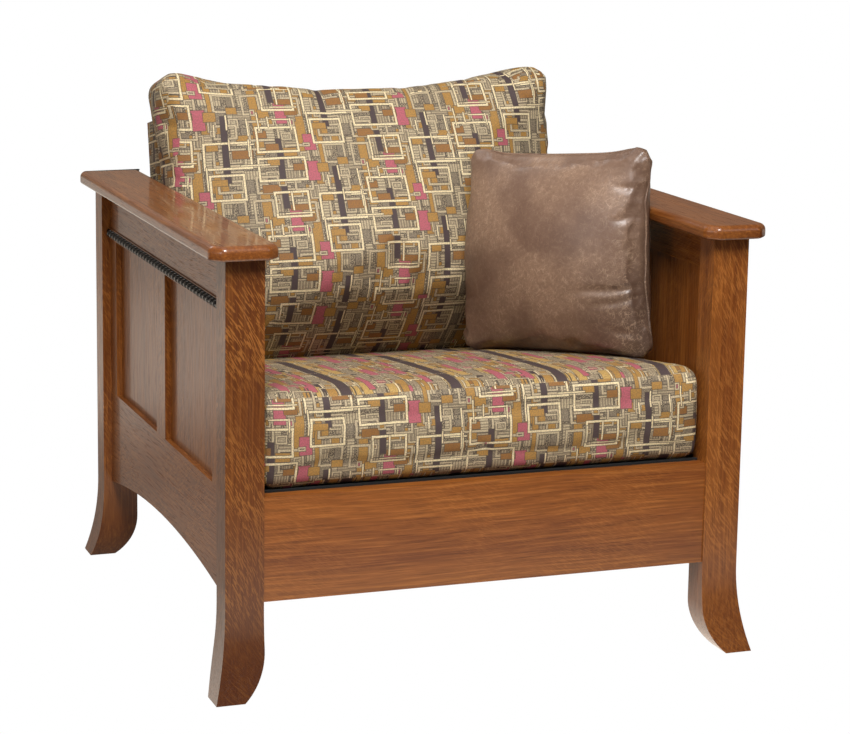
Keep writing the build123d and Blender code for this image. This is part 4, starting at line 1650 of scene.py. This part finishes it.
@dataclass(frozen=True)
class Softbox:
    """A square area light aimed at the chair."""

    name: str
    place: tuple[float, float, float]
    size: float
    power: float
    target: tuple[float, float, float] = (0.0, 0.0, 0.4)

    def build(self) -> None:
        """Hangs the light."""
        data = bpy.data.lights.new(self.name, "AREA")
        data.size = self.size
        data.energy = self.power
        lamp = bpy.data.objects.new(self.name, data)
        bpy.context.scene.collection.objects.link(lamp)
        lamp.location = self.place
        aim = Vector(self.target) - Vector(self.place)
        lamp.rotation_euler = aim.to_track_quat("-Z", "Y").to_euler()
        lamp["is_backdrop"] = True


@dataclass
class Studio:
    """Floor, lights and camera."""

    focal: float = 107.22
    sensor: float = 36.0
    azimuth: float = -20.16
    elevation: float = 10.86
    roll: float = 0.88
    place: tuple[float, float, float] = (-1.25786, -3.51152, 1.14727)
    shift: tuple[float, float] = (0.0043, -0.0553)
    floor_reach: float = 40.0
    floor_colour: Colour = rgb(0.36, 0.34, 0.32)
    floor_roughness: float = 0.9
    floor_glow: tuple[float, float, float] = (1.0, 0.88, 0.75)
    near_shine: float = 2.0
    back_glow: float = 1.15
    front_glow: float = 0.06
    sky_glow: float = 0.26
    sky_colour: Colour = rgb(1.0, 0.86, 0.70)
    fill_glow: float = 0.085
    softboxes: tuple[Softbox, ...] = (
        Softbox("key", (-0.8, -2.4, 3.35), 1.4, 215.0),
        Softbox("fill", (2.2, -2.8, 2.4), 1.4, 14.0),
        Softbox("top", (-0.4, 0.2, 3.0), 1.4, 6.0),
        Softbox("side", (-3.0, -1.8, 1.3), 1.2, 16.0),
        Softbox("rear", (-1.3, 2.6, 3.0), 1.4, 22.0),
    )

    def build(self) -> None:
        """Sets up everything round the chair."""
        self._floor()
        self._world()
        for softbox in self.softboxes:
            softbox.build()
        self._camera()
        bpy.context.scene.view_settings.view_transform = "Standard"

    def _floor(self) -> None:
        """Lays a pale floor that runs out of sight, white to the camera and glowing where gloss mirrors it."""
        mesh = bpy.data.meshes.new("floor")
        far = self.floor_reach
        mesh.from_pydata([(-far, -far, 0), (far, -far, 0), (far, far, 0), (-far, far, 0)], [], [(0, 1, 2, 3)])
        floor = bpy.data.objects.new("floor", mesh)
        bpy.context.scene.collection.objects.link(floor)
        graph = Graph("floor_white")
        graph.finish(Base_Color=self.floor_colour, Roughness=self.floor_roughness)
        spot = graph.place()
        _, depth, _ = graph.split(spot)
        front = depth.ramp(0.2, -0.4) * 0.75 + 0.25
        near = graph.vector("LENGTH", spot, output="Value").ramp(1.5, 0.7) * front
        behind = depth.ramp(0.75, 1.6) * (1.0 - depth.ramp(2.1, 3.0) * 0.4)
        shine = near * self.near_shine + behind * self.back_glow
        glow = graph.vector("MULTIPLY", graph.join(shine, shine, shine), self.floor_glow)
        mirror = graph.node("ShaderNodeEmission", values={"Color": glow})
        lit = graph.node("ShaderNodeEmission", values={"Color": WHITE})
        caught = graph.node("ShaderNodeLightPath", output="Is Glossy Ray")
        seen = graph.node("ShaderNodeLightPath", output="Is Camera Ray")
        ground = graph.blend(caught, Signal(graph, graph.surface.outputs[0]), mirror)
        graph.feed(graph.tree.nodes["Material Output"].inputs[0], graph.blend(seen, ground, lit))
        mesh.materials.append(graph.owner)
        floor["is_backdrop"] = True

    def _world(self) -> None:
        """White to the camera; gloss mirrors a warm glow from behind, and all else gets a faint fill."""
        graph = Graph("surround", world=True)
        bpy.context.scene.world = graph.owner
        seen = graph.node("ShaderNodeLightPath", output="Is Camera Ray")
        caught = graph.node("ShaderNodeLightPath", output="Is Glossy Ray")
        _, depth, _ = graph.split(graph.node("ShaderNodeTexCoord", output="Generated"))
        fade = graph.node(
            "ShaderNodeMapRange", values={0: depth, 1: -0.5, 2: 0.7, 3: self.front_glow, 4: self.sky_glow}
        )
        mirrored = graph.node("ShaderNodeMix", values={0: caught, 2: self.fill_glow, 3: fade})
        bright = graph.node("ShaderNodeMix", values={0: seen, 2: mirrored, 3: 1.0})
        graph.finish(Color=graph.mix(caught, WHITE, self.sky_colour), Strength=bright)

    def _camera(self) -> None:
        """Sets the camera up at the photograph's viewing angle."""
        azimuth, elevation, roll = (math.radians(a) for a in (self.azimuth, self.elevation, self.roll))
        back = Vector(
            (math.sin(azimuth) * math.cos(elevation), -math.cos(azimuth) * math.cos(elevation), math.sin(elevation))
        )
        level = Vector((math.cos(azimuth), math.sin(azimuth), 0.0))
        rise = back.cross(level)
        right = level * math.cos(roll) + rise * math.sin(roll)
        up = rise * math.cos(roll) - level * math.sin(roll)
        data = bpy.data.cameras.new("camera")
        data.lens = self.focal
        data.sensor_width = self.sensor
        data.shift_x, data.shift_y = self.shift
        camera = bpy.data.objects.new("camera", data)
        bpy.context.scene.collection.objects.link(camera)
        turn = Matrix((right, up, back)).transposed()
        camera.matrix_world = Matrix.Translation(self.place) @ turn.to_4x4()
        bpy.context.scene.camera = camera


def note_size(sizes: dict[str, object], moment: str) -> None:
    """Args:
        sizes: the bounds noted so far.
        moment: when the bounds are taken.
    """
    low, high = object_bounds()
    sizes[moment] = [list(low), list(high)]


def main() -> None:
    """Builds the chair piece by piece, then the studio round it."""
    logging.basicConfig(level=logging.INFO)
    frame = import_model()
    sizes: dict[str, object] = {}
    note_size(sizes, "loaded")
    finishes = Finishes().build()
    nodes = frame["nodes"]
    soft = ("seat_cushion", "back_cushion", "throw_pillow", "back_pad", "outside_back")
    timber = {name: node for name, node in nodes.items() if name not in soft}
    assemblies: list[Timber | ArmBoard | Rope | Cushion | CoveredBack] = [Timber(timber, finishes)]
    for side in Side:
        assemblies += [ArmBoard(side, nodes, finishes), Rope(side, finishes)]
    for kind in (SeatCushion, BackCushion, ThrowPillow, CoveredBack):
        assemblies.append(kind(nodes, finishes))
    for assembly in assemblies:
        for piece in assembly.build():
            log.info("%s: %s, %d faces", type(assembly).__name__, piece.name, len(piece.data.polygons))
    Studio().build()
    note_size(sizes, "finished")
    log.info("scene built")


if __name__ == "__main__":
    main()
